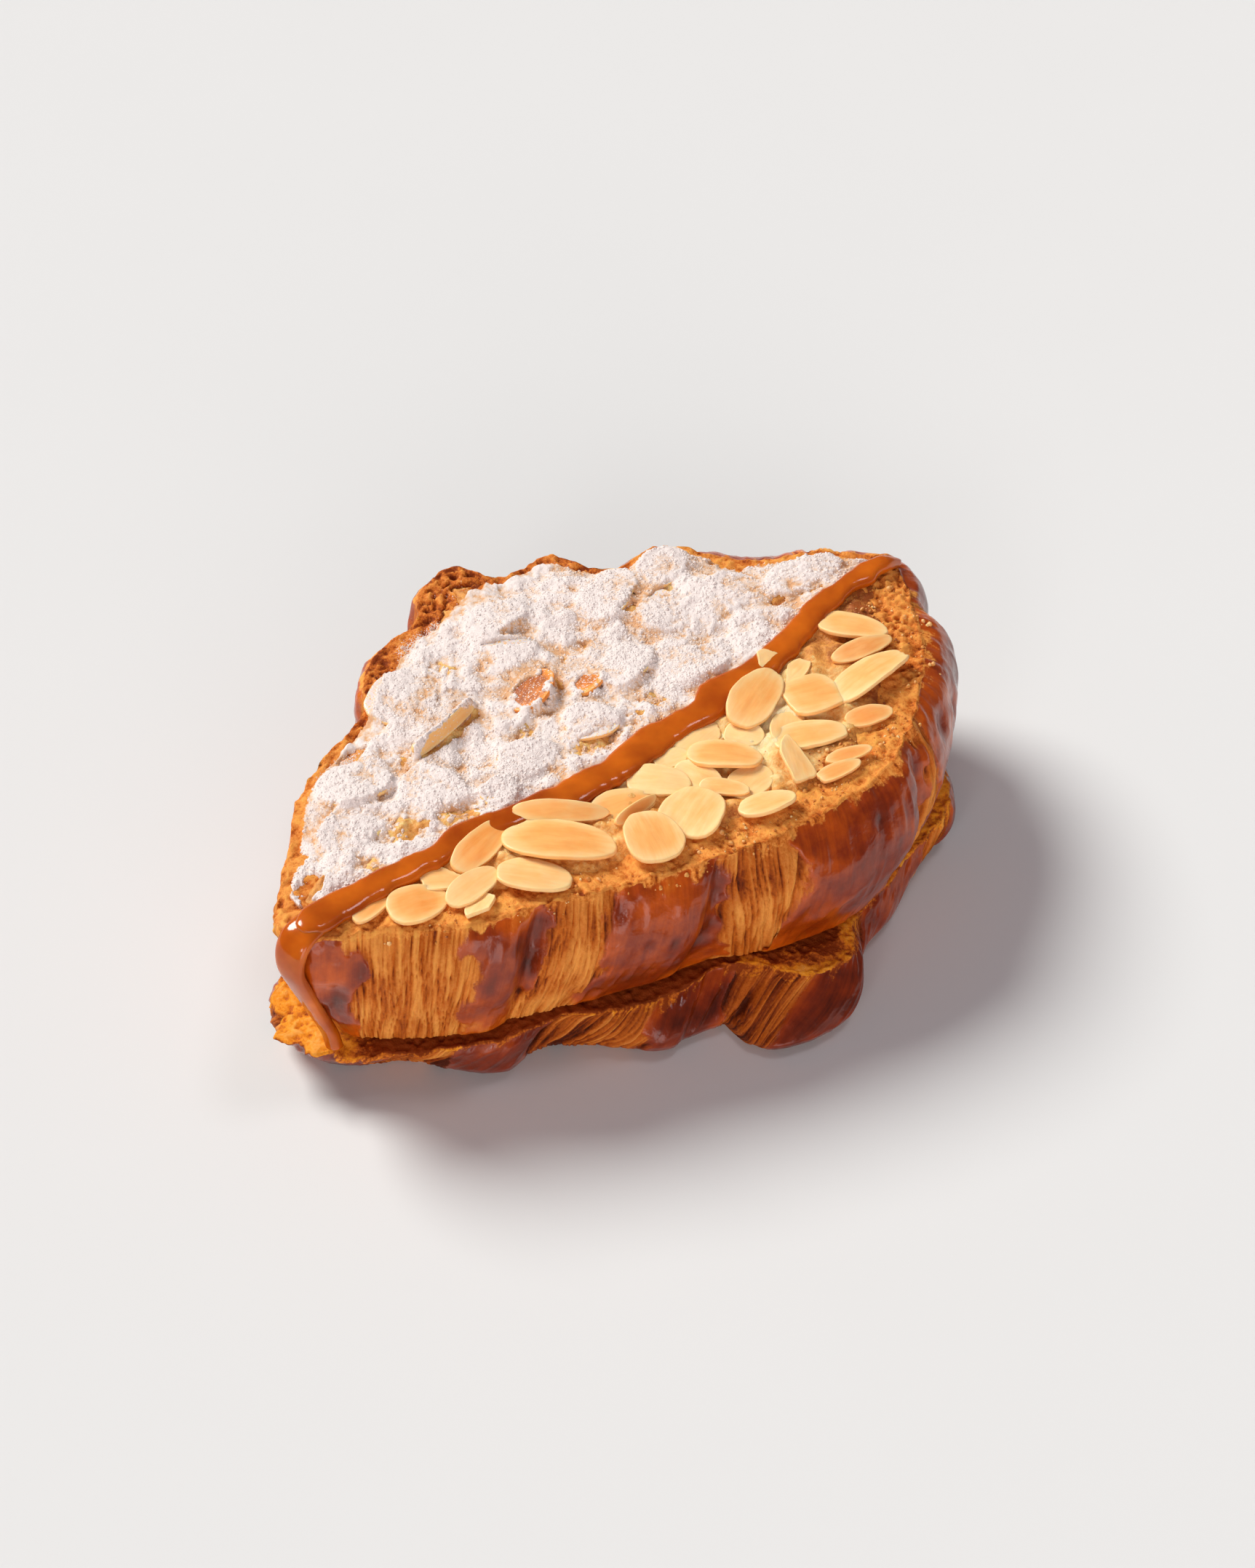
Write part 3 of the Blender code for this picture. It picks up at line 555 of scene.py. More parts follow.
def seam_relief(half, rim, depth):
    """How far the wall stands out, from the turns of the roll."""
    relief = np.zeros((len(depth), len(rim.along)))
    around = compass_of(rim.rim)
    for angle in half.seams:
        along = rim.apart(rim.along[np.argmin(np.abs((around - angle + 180) % 360 - 180))])
        relief -= SEAM_DEPTH * np.exp(-((along / SEAM_WIDTH) ** 2))
        relief -= SEAM_STEP * np.tanh(along / 2) * np.exp(-np.abs(along) / SEAM_FADE)
    return relief * half.seam_share * (0.35 + 0.65 * np.sin(math.pi * depth**0.7))


def shown(name, content):
    """A new object of the scene, with its mesh, light or camera."""
    obj = bpy.data.objects.new(name, content)
    bpy.context.scene.collection.objects.link(obj)
    return obj


def shaped_sphere(name, rings, top, bottom, marks):
    """A closed body: a grid wrapped round the given rings of points and drawn together at both ends."""
    rows, around = rings.shape[:2]
    form = bmesh.new()
    bmesh.ops.create_grid(form, x_segments=around, y_segments=rows + 1, size=1)
    mesh = bpy.data.meshes.new(name)
    form.to_mesh(mesh)
    flat = np.empty(len(mesh.vertices) * 3)
    mesh.vertices.foreach_get("co", flat)
    flat = flat.reshape(-1, 3)
    turn = np.rint((flat[:, 0] + 1) / 2 * around).astype(int) % around
    row = np.rint((flat[:, 1] + 1) / 2 * (rows + 1)).astype(int) - 1
    inner = np.clip(row, 0, rows - 1)
    place = rings[inner, turn]
    place[row < 0] = top
    place[row >= rows] = bottom
    place = (place - (*ORIGIN, 0)) * MM
    mesh.vertices.foreach_set("co", place.ravel())
    for mark, values in marks.items():
        kind, key = ("FLOAT_VECTOR", "vector") if values.ndim == 3 else ("FLOAT", "value")
        attribute = mesh.attributes.new(mark, kind, "POINT")
        attribute.data.foreach_set(key, values[inner, turn].astype(np.float32).ravel())
    form.clear()
    form.from_mesh(mesh)
    bmesh.ops.remove_doubles(form, verts=[vert for vert in form.verts if vert.is_boundary], dist=1e-7)
    bmesh.ops.recalc_face_normals(form, faces=form.faces)
    if any(not edge.is_manifold for edge in form.edges):
        raise RuntimeError(f"{name}: the body is open")
    form.to_mesh(mesh)
    form.free()
    mesh.shade_smooth()
    return shown(name, mesh)


def objects(*names):
    """The finished pieces of these names."""
    return [bpy.data.objects[name] for name in names]


def joined(name, parts):
    """One object from many, with their attributes."""
    with bpy.context.temp_override(active_object=parts[0], selected_editable_objects=parts):
        bpy.ops.object.join()
    parts[0].name = name
    parts[0].data.name = name
    return parts[0]


def placed(obj, material, node="almond_topping"):
    """Gives a finished piece its material and its place on the part."""
    if not obj.data.polygons:
        raise RuntimeError(f"{obj.name} has no faces")
    obj.data.materials.clear()
    obj.data.materials.append(material)
    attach(obj, "root")
    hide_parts(node)
    return obj


# Materials


def feed(tree, node, inputs):
    """Gives a node's inputs their values, or links them to sockets."""
    for key, value in inputs.items():
        if isinstance(value, bpy.types.NodeSocket):
            tree.links.new(value, node.inputs[key])
        else:
            node.inputs[key].default_value = value


def add(tree, kind, inputs=None, stops=None, **settings):
    """Adds a node. Inputs are values, or sockets to link; stops are the places and colours of a ramp."""
    node = tree.nodes.new(kind)
    for name, value in settings.items():
        setattr(node, name, value)
    feed(tree, node, inputs or {})
    if stops:
        scale = node.color_ramp.elements
        while len(scale) > 1:
            scale.remove(scale[-1])
        for index, (place, colour) in enumerate(stops):
            stop = scale[0] if index == 0 else scale.new(place)
            stop.position = place
            stop.color = (*(linear(colour) if isinstance(colour, str) else tuple(colour)), 1)
    return node


class Finish:
    """A new material, with short names for the nodes that its looks are made of."""

    def __init__(self, name):
        self.material = bpy.data.materials.new(name)
        self.material.use_nodes = True
        self.tree = self.material.node_tree
        self.coordinates = add(self.tree, "ShaderNodeTexCoord").outputs
        metres, factor = self.coordinates["Object"], (1 / MM,) * 3
        scaled = add(self.tree, "ShaderNodeVectorMath", {0: metres, 1: factor}, operation="MULTIPLY")
        self.millimetres = scaled.outputs["Vector"]

    def mark(self, name, output="Fac"):
        """One of the piece's own marks."""
        return add(self.tree, "ShaderNodeAttribute", attribute_name=name).outputs[output]

    def noise(self, scale, detail, roughness=0.5, place=None, distortion=0.0):
        """A noise with so many swells a millimetre."""
        inputs = {"Vector": self.millimetres if place is None else place, "Scale": scale, "Detail": detail}
        inputs |= {"Roughness": roughness, "Distortion": distortion}
        return add(self.tree, "ShaderNodeTexNoise", inputs).outputs["Fac"]

    def sums(self, operation, *values):
        """A sum worked out by one node."""
        return add(self.tree, "ShaderNodeMath", dict(enumerate(values)), operation=operation).outputs[0]

    def line(self, value, times, plus):
        """value * times + plus."""
        return self.sums("MULTIPLY_ADD", value, times, plus)

    def between(self, value, low, high):
        """From 0 at low to 1 at high."""
        return add(self.tree, "ShaderNodeMapRange", {"Value": value, "From Min": low, "From Max": high}).outputs[0]

    def ramp(self, share, *stops):
        """The colour at a share of the way along a ramp."""
        return add(self.tree, "ShaderNodeValToRGB", {"Fac": share}, stops=stops).outputs["Color"]

    def mixed(self, share, first, second):
        """The first colour at 0 and the second at 1."""
        return add(self.tree, "ShaderNodeMix", {0: share, 6: first, 7: second}, data_type="RGBA").outputs[2]

    def blended(self, share, first, second):
        """The first number at 0 and the second at 1."""
        return add(self.tree, "ShaderNodeMix", {0: share, 2: first, 3: second}, data_type="FLOAT").outputs[0]

    def bump(self, height, strength, distance):
        """The normal of a surface with this relief, its distance in metres."""
        inputs = {"Height": height, "Strength": strength, "Distance": distance}
        return add(self.tree, "ShaderNodeBump", inputs).outputs["Normal"]

    def worn(self, **inputs):
        """The material, with the shader's inputs set: Base_Color stands for Base Color."""
        names = {key.replace("_", " "): value for key, value in inputs.items()}
        feed(self.tree, self.tree.nodes["Principled BSDF"], names)
        return self.material


def baked_crust(name, settings, crumb_colour):
    """Laminated wheat dough, baked and brushed with sugar glaze. The eye sees matt golden page edges
    with dark gaps (painted shade), wet-looking red-brown skins over them, and open crumb where the cut went
    through."""
    looks = Finish(name)
    skin_reach, tone, open_reach, bake_and_shade, dust = map(looks.mark, ("skin", "tone", "open", "bake_and_shade", "dust"))
    # page edges about 0.5 mm apart, as thick as a baked layer, running down the wall
    streak = looks.noise(1.1, 3, 0.6, place=looks.mark("wrap", "Vector"))
    speck = looks.noise(1.6, 5, 0.65)
    # borders of the skins and of the open crumb, frayed by half a millimetre
    gloss, crumb = (
        looks.between(looks.line(speck, 2.0, reach), 0.65, 1.35) for reach in (skin_reach, open_reach)
    )
    wrinkle = looks.noise(0.3, 3, 0.45, distortion=0.4)
    broad = looks.noise(0.22, 4, 0.6)

    layered = looks.line(speck, 0.5, looks.line(streak, 0.75, tone))
    pages = looks.ramp(
        looks.sums("SUBTRACT", layered, 0.66),
        (0.0, "#4E1A04"), (0.22, settings.layer_dark), (0.52, settings.layer_mid), (1.0, settings.layer_light),
    )
    patchy = looks.line(streak, 0.3, looks.line(broad, 0.6, bake_and_shade))
    skin = looks.ramp(
        looks.sums("SUBTRACT", patchy, 0.57),
        (0.0, "#4E1603"), (0.3, settings.skin_dark), (0.62, settings.skin_light), (1.0, "#EC8E2C"),
    )
    open_crumb = looks.ramp(
        looks.sums("SUBTRACT", looks.line(speck, 1.3, tone), 0.72),
        (0.0, "#8C3C0E"), (0.25, "#CC6E22"), (0.55, crumb_colour), (1.0, "#F6B254"),
    )
    baked = looks.mixed(crumb, looks.mixed(gloss, pages, skin), open_crumb)
    # grains of icing sugar, drawn 0.3 mm wide so that they show
    grains = looks.sums("ADD", looks.noise(3.0, 2), dust)
    colour = looks.mixed(looks.between(grains, 1.0, 1.1), baked, (*settings.dust_colour, 1))

    matt = looks.blended(crumb, looks.blended(gloss, 0.55, 0.4), 0.65)
    bare = looks.sums("SUBTRACT", 1.0, crumb)
    wet = looks.sums("MULTIPLY", looks.line(gloss, 0.72, 0.04), bare)

    dry = looks.line(gloss, -0.9, 1.0)
    lines, specks = (looks.sums("MULTIPLY", relief, dry) for relief in (streak, speck))
    folds = looks.sums("MULTIPLY", wrinkle, gloss)
    relief = looks.bump(looks.line(folds, 1.1, looks.line(specks, 1.3, lines)), 0.5, 0.0006)
    return looks.worn(
        Base_Color=colour, Roughness=matt, IOR=1.45, Specular_IOR_Level=0.2, Normal=relief,
        Coat_Weight=wet, Coat_Roughness=0.05, Coat_IOR=1.5, Coat_Normal=relief,
        Subsurface_Weight=0.15, Subsurface_Radius=(1.0, 0.4, 0.12), Subsurface_Scale=0.002,
    )


def baked_frangipane(name, settings):
    """Baked almond cream. It is pale yellow and finely grained in the middle, and browns to a coarse
    golden crumb towards the rim."""
    looks = Finish(name)
    speck = looks.noise(1.1, 5, 0.65)
    depth = looks.sums("SUBTRACT", looks.line(speck, 0.9, looks.mark("brown")), 0.45)
    colour = looks.ramp(
        depth, (0.0, "#FBE6B2"), (0.3, settings.cream_colour), (0.6, "#EBA650"), (1.0, "#A9581C")
    )
    return looks.worn(
        Base_Color=colour, Roughness=0.55, IOR=1.45, Normal=looks.bump(speck, 0.7, 0.0006),
        Subsurface_Weight=0.3, Subsurface_Radius=(1.0, 0.6, 0.25), Subsurface_Scale=0.0015,
    )


def toasted_almond(name, settings, dusted=0.0):
    """Sliced blanched almond, toasted. Each flake has a golden heart with faint veins along it and a
    paler band at its edge."""
    looks = Finish(name)
    lie, rim, tone = looks.mark("lie", "Vector"), looks.mark("rim"), looks.mark("tone")
    lengthwise = add(looks.tree, "ShaderNodeVectorMath", {0: lie, 1: (0.14, 1, 1)}, operation="MULTIPLY")
    # veins about 0.7 mm apart
    veins = looks.noise(0.9, 3, 0.6, place=lengthwise.outputs["Vector"])
    cloud = looks.noise(0.25, 3, place=lie)
    heart = looks.ramp(
        rim, (0.0, "#DDDDDD"), (0.6, "#D0D0D0"), (0.85, "#909090"), (0.95, "#5C5C5C"), (1.0, "#A0A0A0")
    )
    # above a tone of 1 the flake keeps its brown skin, with deeper veins and no pale edge
    skin = looks.between(tone, 1.0, 1.6)
    gold = looks.sums("MULTIPLY", looks.blended(skin, heart, 1.0), tone)
    gold = looks.line(veins, looks.line(skin, 0.8, 0.45), gold)
    gold = looks.line(cloud, 0.4, gold)
    colour = looks.ramp(
        looks.line(gold, 0.7, -0.29),
        (0.0, settings.almond_pale), (0.28, "#FFBE70"), (0.56, settings.almond_gold), (0.72, "#B8692F"),
        (0.88, "#8E4420"), (1.0, "#6E3018"),
    )
    if dusted:
        facing = add(looks.tree, "ShaderNodeSeparateXYZ", {0: looks.coordinates["Normal"]}).outputs["Z"]
        share = looks.sums("ADD", looks.line(facing, 0.45, looks.noise(2.6, 3)), dusted)
        share = looks.between(looks.line(tone, -0.25, share), 0.6, 0.68)
        colour = looks.mixed(share, colour, (*settings.sugar_colour, 1))
    return looks.worn(
        Base_Color=colour, Roughness=0.42, IOR=1.46, Normal=looks.bump(veins, 0.2, 0.0003),
        Subsurface_Weight=0.3, Subsurface_Radius=(1.0, 0.55, 0.2), Subsurface_Scale=0.0008,
    )


def poured_caramel(name, settings):
    """Boiled sugar and cream, poured and set soft. It is milky amber, glows where it is thin, and has
    the wet shine of a liquid."""
    looks = Finish(name)
    colour = looks.ramp(looks.noise(0.12, 3), (0.3, settings.caramel_dark), (0.7, settings.caramel_light))
    return looks.worn(
        Base_Color=colour, Roughness=0.13, IOR=1.5, Normal=looks.bump(looks.noise(0.35, 2, 0.4), 0.15, 0.0006),
        Subsurface_Weight=0.5, Subsurface_Radius=(1.0, 0.4, 0.1), Subsurface_Scale=0.002,
    )


def sifted_sugar(name, settings):
    """Icing sugar, sifted over warm pastry. It lies in matt white clumps, and between them the damp
    sugar has gone beige and amber; the beige in the hollows between the grains is partly painted shade."""
    looks = Finish(name)
    fine = looks.noise(1.5, 2)
    # grains, drawn 0.45 mm wide so that they show
    cells = {"Vector": looks.millimetres, "Scale": 2.2, "Smoothness": 0.4}
    lumps = add(looks.tree, "ShaderNodeTexVoronoi", cells, feature="SMOOTH_F1").outputs["Distance"]
    # darker between the grains, where the bump is low: painted shade in the crevices
    amount = looks.line(lumps, -0.5, looks.line(fine, 0.7, looks.mark("cover_and_shade")))
    colour = looks.ramp(
        looks.sums("SUBTRACT", amount, 0.15),
        (0.0, "#DCAC80"), (0.2, "#E2C2A4"), (0.42, settings.damp_sugar), (0.8, settings.sugar_colour),
    )
    relief = looks.bump(looks.line(lumps, -1.0, fine), 0.5, 0.00015)
    return looks.worn(Base_Color=colour, Roughness=0.9, IOR=1.4, Normal=relief)


def loose_crumb(name):
    """Crumbs of crust and chopped almond, golden to brown from one to the next."""
    looks = Finish(name)
    colour = looks.ramp(looks.noise(0.5, 1), (0.3, "#9C5420"), (0.5, "#DB9440"), (0.68, "#F3CE8E"))
    return looks.worn(Base_Color=colour, Roughness=0.6, Subsurface_Weight=0.2, Subsurface_Scale=0.0008)


def matt_paper(name, settings):
    """The studio's pale paper sweep. It is matt, with no pattern that shows at this distance."""
    looks = Finish(name)
    shaded = tuple(part * 0.995 for part in settings.floor_colour)
    colour = looks.ramp(looks.noise(0.02, 2), (0.3, shaded), (0.7, settings.floor_colour))
    return looks.worn(Base_Color=colour, Roughness=0.8, Specular_IOR_Level=0.2)


# Shapes


def pages(across, down, width, seed):
    """Laminated layers: how far each place stands out, from 0 to 1, and the tone of its layer, darkened towards
    the gaps between layers as painted shade.
    """
    drawn = np.stack([across, down * 0.2], axis=-1)
    at = across / width + noises(drawn, ((1.2, 5, seed), (0.35, 2.1, seed + 1)))
    page = np.floor(at)
    share = at - page
    own = hashed(page[..., None], seed + 2)
    tint = hashed(page[..., None], seed + 3)
    edge = 1 - np.abs(2 * share - 1) ** 5
    # the tone falls towards each layer's edges: painted shade in the gaps between layers
    return 0.6 * own * edge + 0.4 * edge, (0.35 + 0.6 * tint) * (0.05 + 0.95 * edge)


def panel_reach(half, at, down):
    """How far each place lies inside a glazed skin (above 0) or outside one, with ragged borders."""
    place = np.stack(np.broadcast_arrays(at, down), axis=-1)
    at = at + noises(place, PANEL_FRAY)
    reach = np.full(at.shape, -MARK_LIMIT)
    for start, end in half.panels:
        reach = np.maximum(reach, np.minimum(at - start, end - at))
    return np.clip(reach, -MARK_LIMIT, MARK_LIMIT)


def wrapped(at, down, perimeter):
    """Coordinates that follow the wall round and down, drawn out so that streaks run down it."""
    turn = at / perimeter * 2 * math.pi
    radius = perimeter / 2 / math.pi
    return np.stack(np.broadcast_arrays(radius * np.cos(turn), radius * np.sin(turn), down * 0.06), axis=-1)


def rim_frays(half, rim):
    """How far the rim's edge stands out at each place round it, with its bites and points."""
    ragged = noises(rim.rim, RIM_FRAY) * (1 + half.tip_fray * within(rim.rim, TORN_TIP))
    for spot, radius, bite in half.bites:
        ragged = ragged - bite * np.exp(-((rim.apart(spot) / radius) ** 2))
    return ragged


def wall_surface(half, rim, settings, ragged, lip):
    """The baked wall, from the rim down to the foot: its places and its marks."""
    at = rim.along
    depth = (np.linspace(0, 1, half.wall_rows + 1) ** ROW_CROWDING)[:, None]
    lean = np.clip(-np.sin(np.radians(compass_of(rim.rim))) * 4, -1, 1)
    curl = half.curl * depth**2 * ease(*CURL_SPAN[0], at) * ease(*CURL_SPAN[1], at)
    along = at - SEAM_LEAN * depth * lean + curl
    place = rim.at(along)
    edge, foot, away = place[..., :2], place[..., 2:], rim.outward(along)
    compass = compass_of(edge)
    belly = by_compass(half.belly, compass)
    power = math.log(0.5) / np.log(by_compass(half.belly_at, compass))
    top = cut_height(half, edge) - RIM_DROP
    wall_height = top - half.foot_z
    down = depth * wall_height
    swell = belly * np.sin(math.pi * depth**power) + seam_relief(half, rim, depth)

    reach = panel_reach(half, at, down)
    gloss = ease(*SKIN_EDGE, reach)
    place = np.stack(np.broadcast_arrays(at, down), axis=-1)
    across = at + noises(place, LAYER_DRIFT)
    (layer, tone), (second, fine_tone), (fold, fold_tone) = (
        pages(across, down, settings.layer_width / MM * width, seed) for width, seed in PAGE_KINDS
    )
    torn = noises(place, TORN_LAYERS)
    # layers, thinner layers, folds and tears stand out by turns about the wall's own face
    ridges = 1.2 * layer + 0.7 * second + 0.9 * fold + 0.6 * torn - 1.8
    crease = 1 - 2 * np.abs(noise(place, *GLAZE_CREASE))
    glaze = 0.45 + noises(place, GLAZE_RELIEF) + 0.16 * crease
    relief = settings.layer_relief / MM * ridges * (1 - gloss) + gloss * glaze + noises(place, WALL_SWELL)
    bake_and_shade = 0.5 - 0.6 * half.darker + 0.2 * grain(place, 9.0, 44) + 0.12 * ease(0.7, 1.0, depth)
    bake_and_shade = bake_and_shade + 0.14 * ease(2.6, 0.2, reach) + 0.1 * ease(5, 0, down)
    # burst bubbles are hollows; the darker colour inside them is painted shade
    for spot, deep, radius, hole in half.pits:
        inside = np.exp(-((np.hypot(at - spot, (down - deep) * PIT_SQUASH) / radius) ** 2))
        relief = relief - hole * inside
        bake_and_shade = bake_and_shade - 0.22 * inside
        tone = tone - 0.5 * inside

    ends = ease(0, 1.6, down) * ease(0, 1.2, wall_height - down + 0.6)
    flat = edge + (foot - edge) * depth[..., None]
    flat = flat + away * (swell + relief * ends + ragged * ease(3, 0, down))[..., None]
    height = top + (half.foot_z - top) * depth + lip * ease(2.2, 0, down)
    spill = 0.5 + noises(place, CRUMB_SPILL) - 0.4 * gloss - down
    # paler high up; darker beside the skins and under the crumb that spills over the rim, as painted shade under
    # their overhanging edges
    tone = 0.62 * tone + 0.34 * fine_tone + 0.38 * fold_tone + 0.12 * torn - 0.06
    tone = tone + noises(place, LAYER_TONE) + 0.12 * ease(8, 0, down)
    tone = tone - 0.2 * ease(-0.4, 0.6, spill) - half.darker - 0.12 * ease(-3.0, -0.4, reach)
    marks = {
        "skin": reach,
        "tone": tone,
        "open": np.clip(spill, -MARK_LIMIT, MARK_LIMIT),
        "bake_and_shade": bake_and_shade,
        "dust": np.zeros(down.shape),
        "wrap": wrapped(across, down, rim.perimeter),
    }
    return raised(flat, height), marks


def crust_body(name, half, settings):
    """One baked half: the open crumb of its cut face, its rim, its laminated wall and its base."""
    rim = Rim(half.outline, half.around)
    ragged, lip = rim_frays(half, rim), noises(rim.rim, RIM_LIP)
    wall, marks = wall_surface(half, rim, settings, ragged, lip)

    inset = np.arange(half.crumb_rows, 0, -1)[:, None] * CRUMB_STEP
    edge = rim.rim + rim.outward(rim.along) * ragged[:, None]
    flat = edge * (1 - inset / np.linalg.norm(rim.rim, axis=1))[..., None]
    open_marks, height = crumb_surface(half, flat, inset, lip)
    crumb = raised(flat, height)
    flat = flat[0] * np.linspace(*MIDDLE_SPAN, MIDDLE_ROWS)[:, None, None]
    middle = raised(flat, cut_height(half, flat))

    last = wall[-1, :, :2]
    under = []
    for step, level in half.turn_under:
        base = last - step * unit(last)
        under.append(raised(base, level))
    under += [raised(base * share, level) for share in BASE_SHARES]
    rings = np.concatenate([middle, crumb, wall, under])
    for mark, values in marks.items():
        ring = open_marks[mark]
        inner, outer = ring[:1].repeat(MIDDLE_ROWS, 0), values[-1:].repeat(len(under), 0)
        marks[mark] = np.concatenate([inner, ring, values, outer])
    centre = rings[0].mean(axis=0)
    return shaped_sphere(name, rings, centre, (*centre[:2], level), marks)


def crumb_surface(half, flat, inset, lip):
    """The open crumb inside the rim: its marks and its height."""
    filled = half is UPPER
    far, end = (within(flat, *part) * filled for part in (FAR_CRUMB, RIGHT_END))
    # the crumb is coarser at the right end and in the far corner, which hold the wide holes
    coarse = 1 + 1.1 * end + 0.9 * far
    rough = noises(flat, CRUMB_ROUGH)
    torn = 1 - 2 * np.abs(noise(flat, 1.6, 65))
    holes = ease(0.45, 0.15, pores(flat, 1.9, 64)) * ease(-0.3, 0.4, noise(flat, 4.0, 66))
    warped = flat + 1.3 * np.stack([noise(flat, 2.6, 73), noise(flat, 2.6, 74)], axis=-1)
    wide = ease(0.5, 0.1, pores(warped, (4.0, 1.9), 68)) * ease(-0.3, 0.3, noise(flat, 5.0, 69))
    wide = wide * (far + 0.3 * end)
    # the surface drops to the rim, after a low lip
    height = cut_height(half, flat) - RIM_DROP * np.exp(-inset / 1.2)
    height = height + lip * ease(1.6, 0, inset) + 0.3 * np.exp(-(((inset - 0.4) / 0.6) ** 2))
    height = height + (0.38 * rough + 0.13 * torn) * coarse * ease(0, 0.8, inset)
    height = height - 0.6 * holes * (coarse - 0.5) * ease(0.2, 1.4, inset)
    height = height - 1.2 * wide * ease(0.8, 2.4, inset)
    # darker in the holes and the wide holes: painted shade in the hollows
    tone = 0.62 + 0.34 * rough + 0.1 * torn - 0.26 * holes - 0.45 * wide
    tone = tone - 0.12 * ease(2.0, 0, inset) - 0.08 * end - 0.24 * far
    # icing sugar dusts the far part of the rim
    dust = within(flat, DUSTED_RIGHT, DUSTED_FAR) * (0.45 + 0.55 * ease(0.0, 5.0, inset)) * 0.6 * filled
    dust = dust * (0.7 + 0.4 * noise(flat, 6.0, 71)) * within(flat, DUSTED_LEFT)
    if not filled:
        height = np.minimum(height, half.cut_z + LOWER_RISE)
        # in the seam under the upper half the crumb is darkened as painted shade, and the left tip is lightened as
        # painted light
        left = within(flat, *LEFT_SIDE)
        painted_seam_shade = 0.85 * left * ease(0.0, 1.8, inset) + 0.6 * (1 - left) * ease(1.6, 4.5, inset)
        tone = tone - painted_seam_shade * within(flat, *PAINTED_SHADE_NEAR_RIM) + 0.05 * within(flat, *PAINTED_LIGHT_TIP)
        tone = tone - 0.4 * within(flat, *PAINTED_SHADE_BEHIND_TIP) * left
    whole = flat.shape[:2]
    marks = {
        "skin": np.full(whole, -MARK_LIMIT),
        "tone": tone,
        "open": np.full(whole, MARK_LIMIT),
        "bake_and_shade": np.full(whole, 0.5),
        "dust": dust,
        "wrap": np.repeat((flat / 10)[..., :1], 3, axis=-1),
    }
    return marks, height


def cream_body(name):
    """The frangipane: a lumpy sheet whose edge dips into the cut face, inside the rim."""
    rim = Rim(UPPER.outline, CREAM_AROUND, crowded=False)
    inset = CREAM_INSET + 1.6 * waves(*rim.rim.T, 5.0) + 0.8 * noise(rim.rim, 3.0, 81)
    edge = rim.rim - rim.outward(rim.along) * inset[:, None]
    share = np.linspace(0.02, 1, CREAM_ROWS)[:, None]
    flat = edge * share[..., None]
    x, y = flat[..., 0], flat[..., 1]
    fine = noises(flat, CREAM_FINE)
    thick = CREAM_THICK + CREAM_LUMP * waves(x, y, 3.4) + fine
    sink = ease(0.9, 1.0, share)
    height = cut_height(UPPER, flat) + thick * (1 - sink) - CREAM_THICK * sink
    under = UPPER.cut_z - CREAM_ROOT
    base = [raised(edge * step, under) for step in CREAM_BASE]
    pale = sum(
        strength * np.exp(-(((x - middle_x) / long) ** 2 + ((y - middle_y) / deep) ** 2))
        for middle_x, middle_y, long, deep, strength in PALE_CREAM
    )
    brown = 0.5 + 0.26 * within(flat, BROWN_CREAM) - 0.5 * pale + 0.22 * grain(flat, 4.0, 84)
    brown = brown - 0.25 * fine + 0.25 * ease(0.8, 1.0, share)
    brown = np.concatenate([brown, brown[-1:].repeat(len(base), 0)])
    rings = np.concatenate([raised(flat, height), base])
    centre = rings[0].mean(axis=0)
    return shaped_sphere(name, rings, centre, (*centre[:2], under), {"brown": brown})


def flake_outline(index, flake):
    """A flake's edge: an egg with square shoulders, here and there broken off straight."""
    turn = np.linspace(0, 2 * math.pi, FLAKE_SIDES, endpoint=False)
    seed = FLAKE_SEED + index
    circle = np.column_stack([np.cos(turn), np.sin(turn)])
    round_off = (np.abs(circle) ** FLAKE_SHOULDER).sum(axis=1) ** (-1 / FLAKE_SHOULDER)
    wobble = 1 + 0.05 * noise(circle * 3, 2.0, seed) + 0.02 * noise(circle * 3, 0.7, seed + 200)
    x = flake.length / 2 * np.cos(turn) * round_off * wobble
    y = flake.width / 2 * np.sin(turn) * round_off * (1 - ALMOND_POINT * np.cos(turn)) * wobble
    reach = np.hypot(x, y)
    angle = np.arctan2(y, x)
    for direction, distance in flake.breaks:
        facing = np.cos(angle - math.radians(direction))
        limit = distance * (1 + 0.04 * noise(circle * 4, 0.7, seed + 300)) / np.maximum(facing, 0.05)
        reach = np.minimum(reach, limit)
    return np.column_stack([reach * np.cos(angle), reach * np.sin(angle)])


def flake_body(index, flake, thick):
    """A flaked almond: a thin curved slice with rounded edges."""
    outline = flake_outline(index, flake)
    bend = 0.5 * (hashed(np.array([[index]]), 7)[0] - 0.5)
    rings, lies, rims = [], [], []
    for share, level in FLAKE_ROWS:
        flat = outline * share
        sag = ALMOND_SAG * (flat[:, 0] ** 2 * (1 + bend) + bend * flat[:, 0] * flat[:, 1])
        swell = noises(flat + 50 * index, [(*swell, FLAKE_SEED + index) for swell in FLAKE_SWELLS])
        rings.append(raised(flat, thick * level - sag + swell * (level > 0)))
        lies.append(raised(flat + 37 * index, 5 * index))
        rims.append(np.full(len(flat), share if level > 0 else 1.0))
    pose = Euler([math.radians(part) for part in (flake.roll, flake.pitch, flake.heading)]).to_matrix()
    pose = np.array(pose).T
    bed = cut_height(UPPER, np.array([[flake.x, flake.y]]))[0] + CREAM_THICK
    move = np.array([flake.x, flake.y, bed + flake.lift])
    ends = np.array([[0, 0, thick / 2], [0, 0, -thick / 2]]) @ pose + move
    rims = np.array(rims)
    marks = {"lie": np.array(lies), "rim": rims, "tone": np.full(rims.shape, flake.tone)}
    return shaped_sphere(f"flake_{index:02d}", np.array(rings) @ pose + move, *ends, marks)


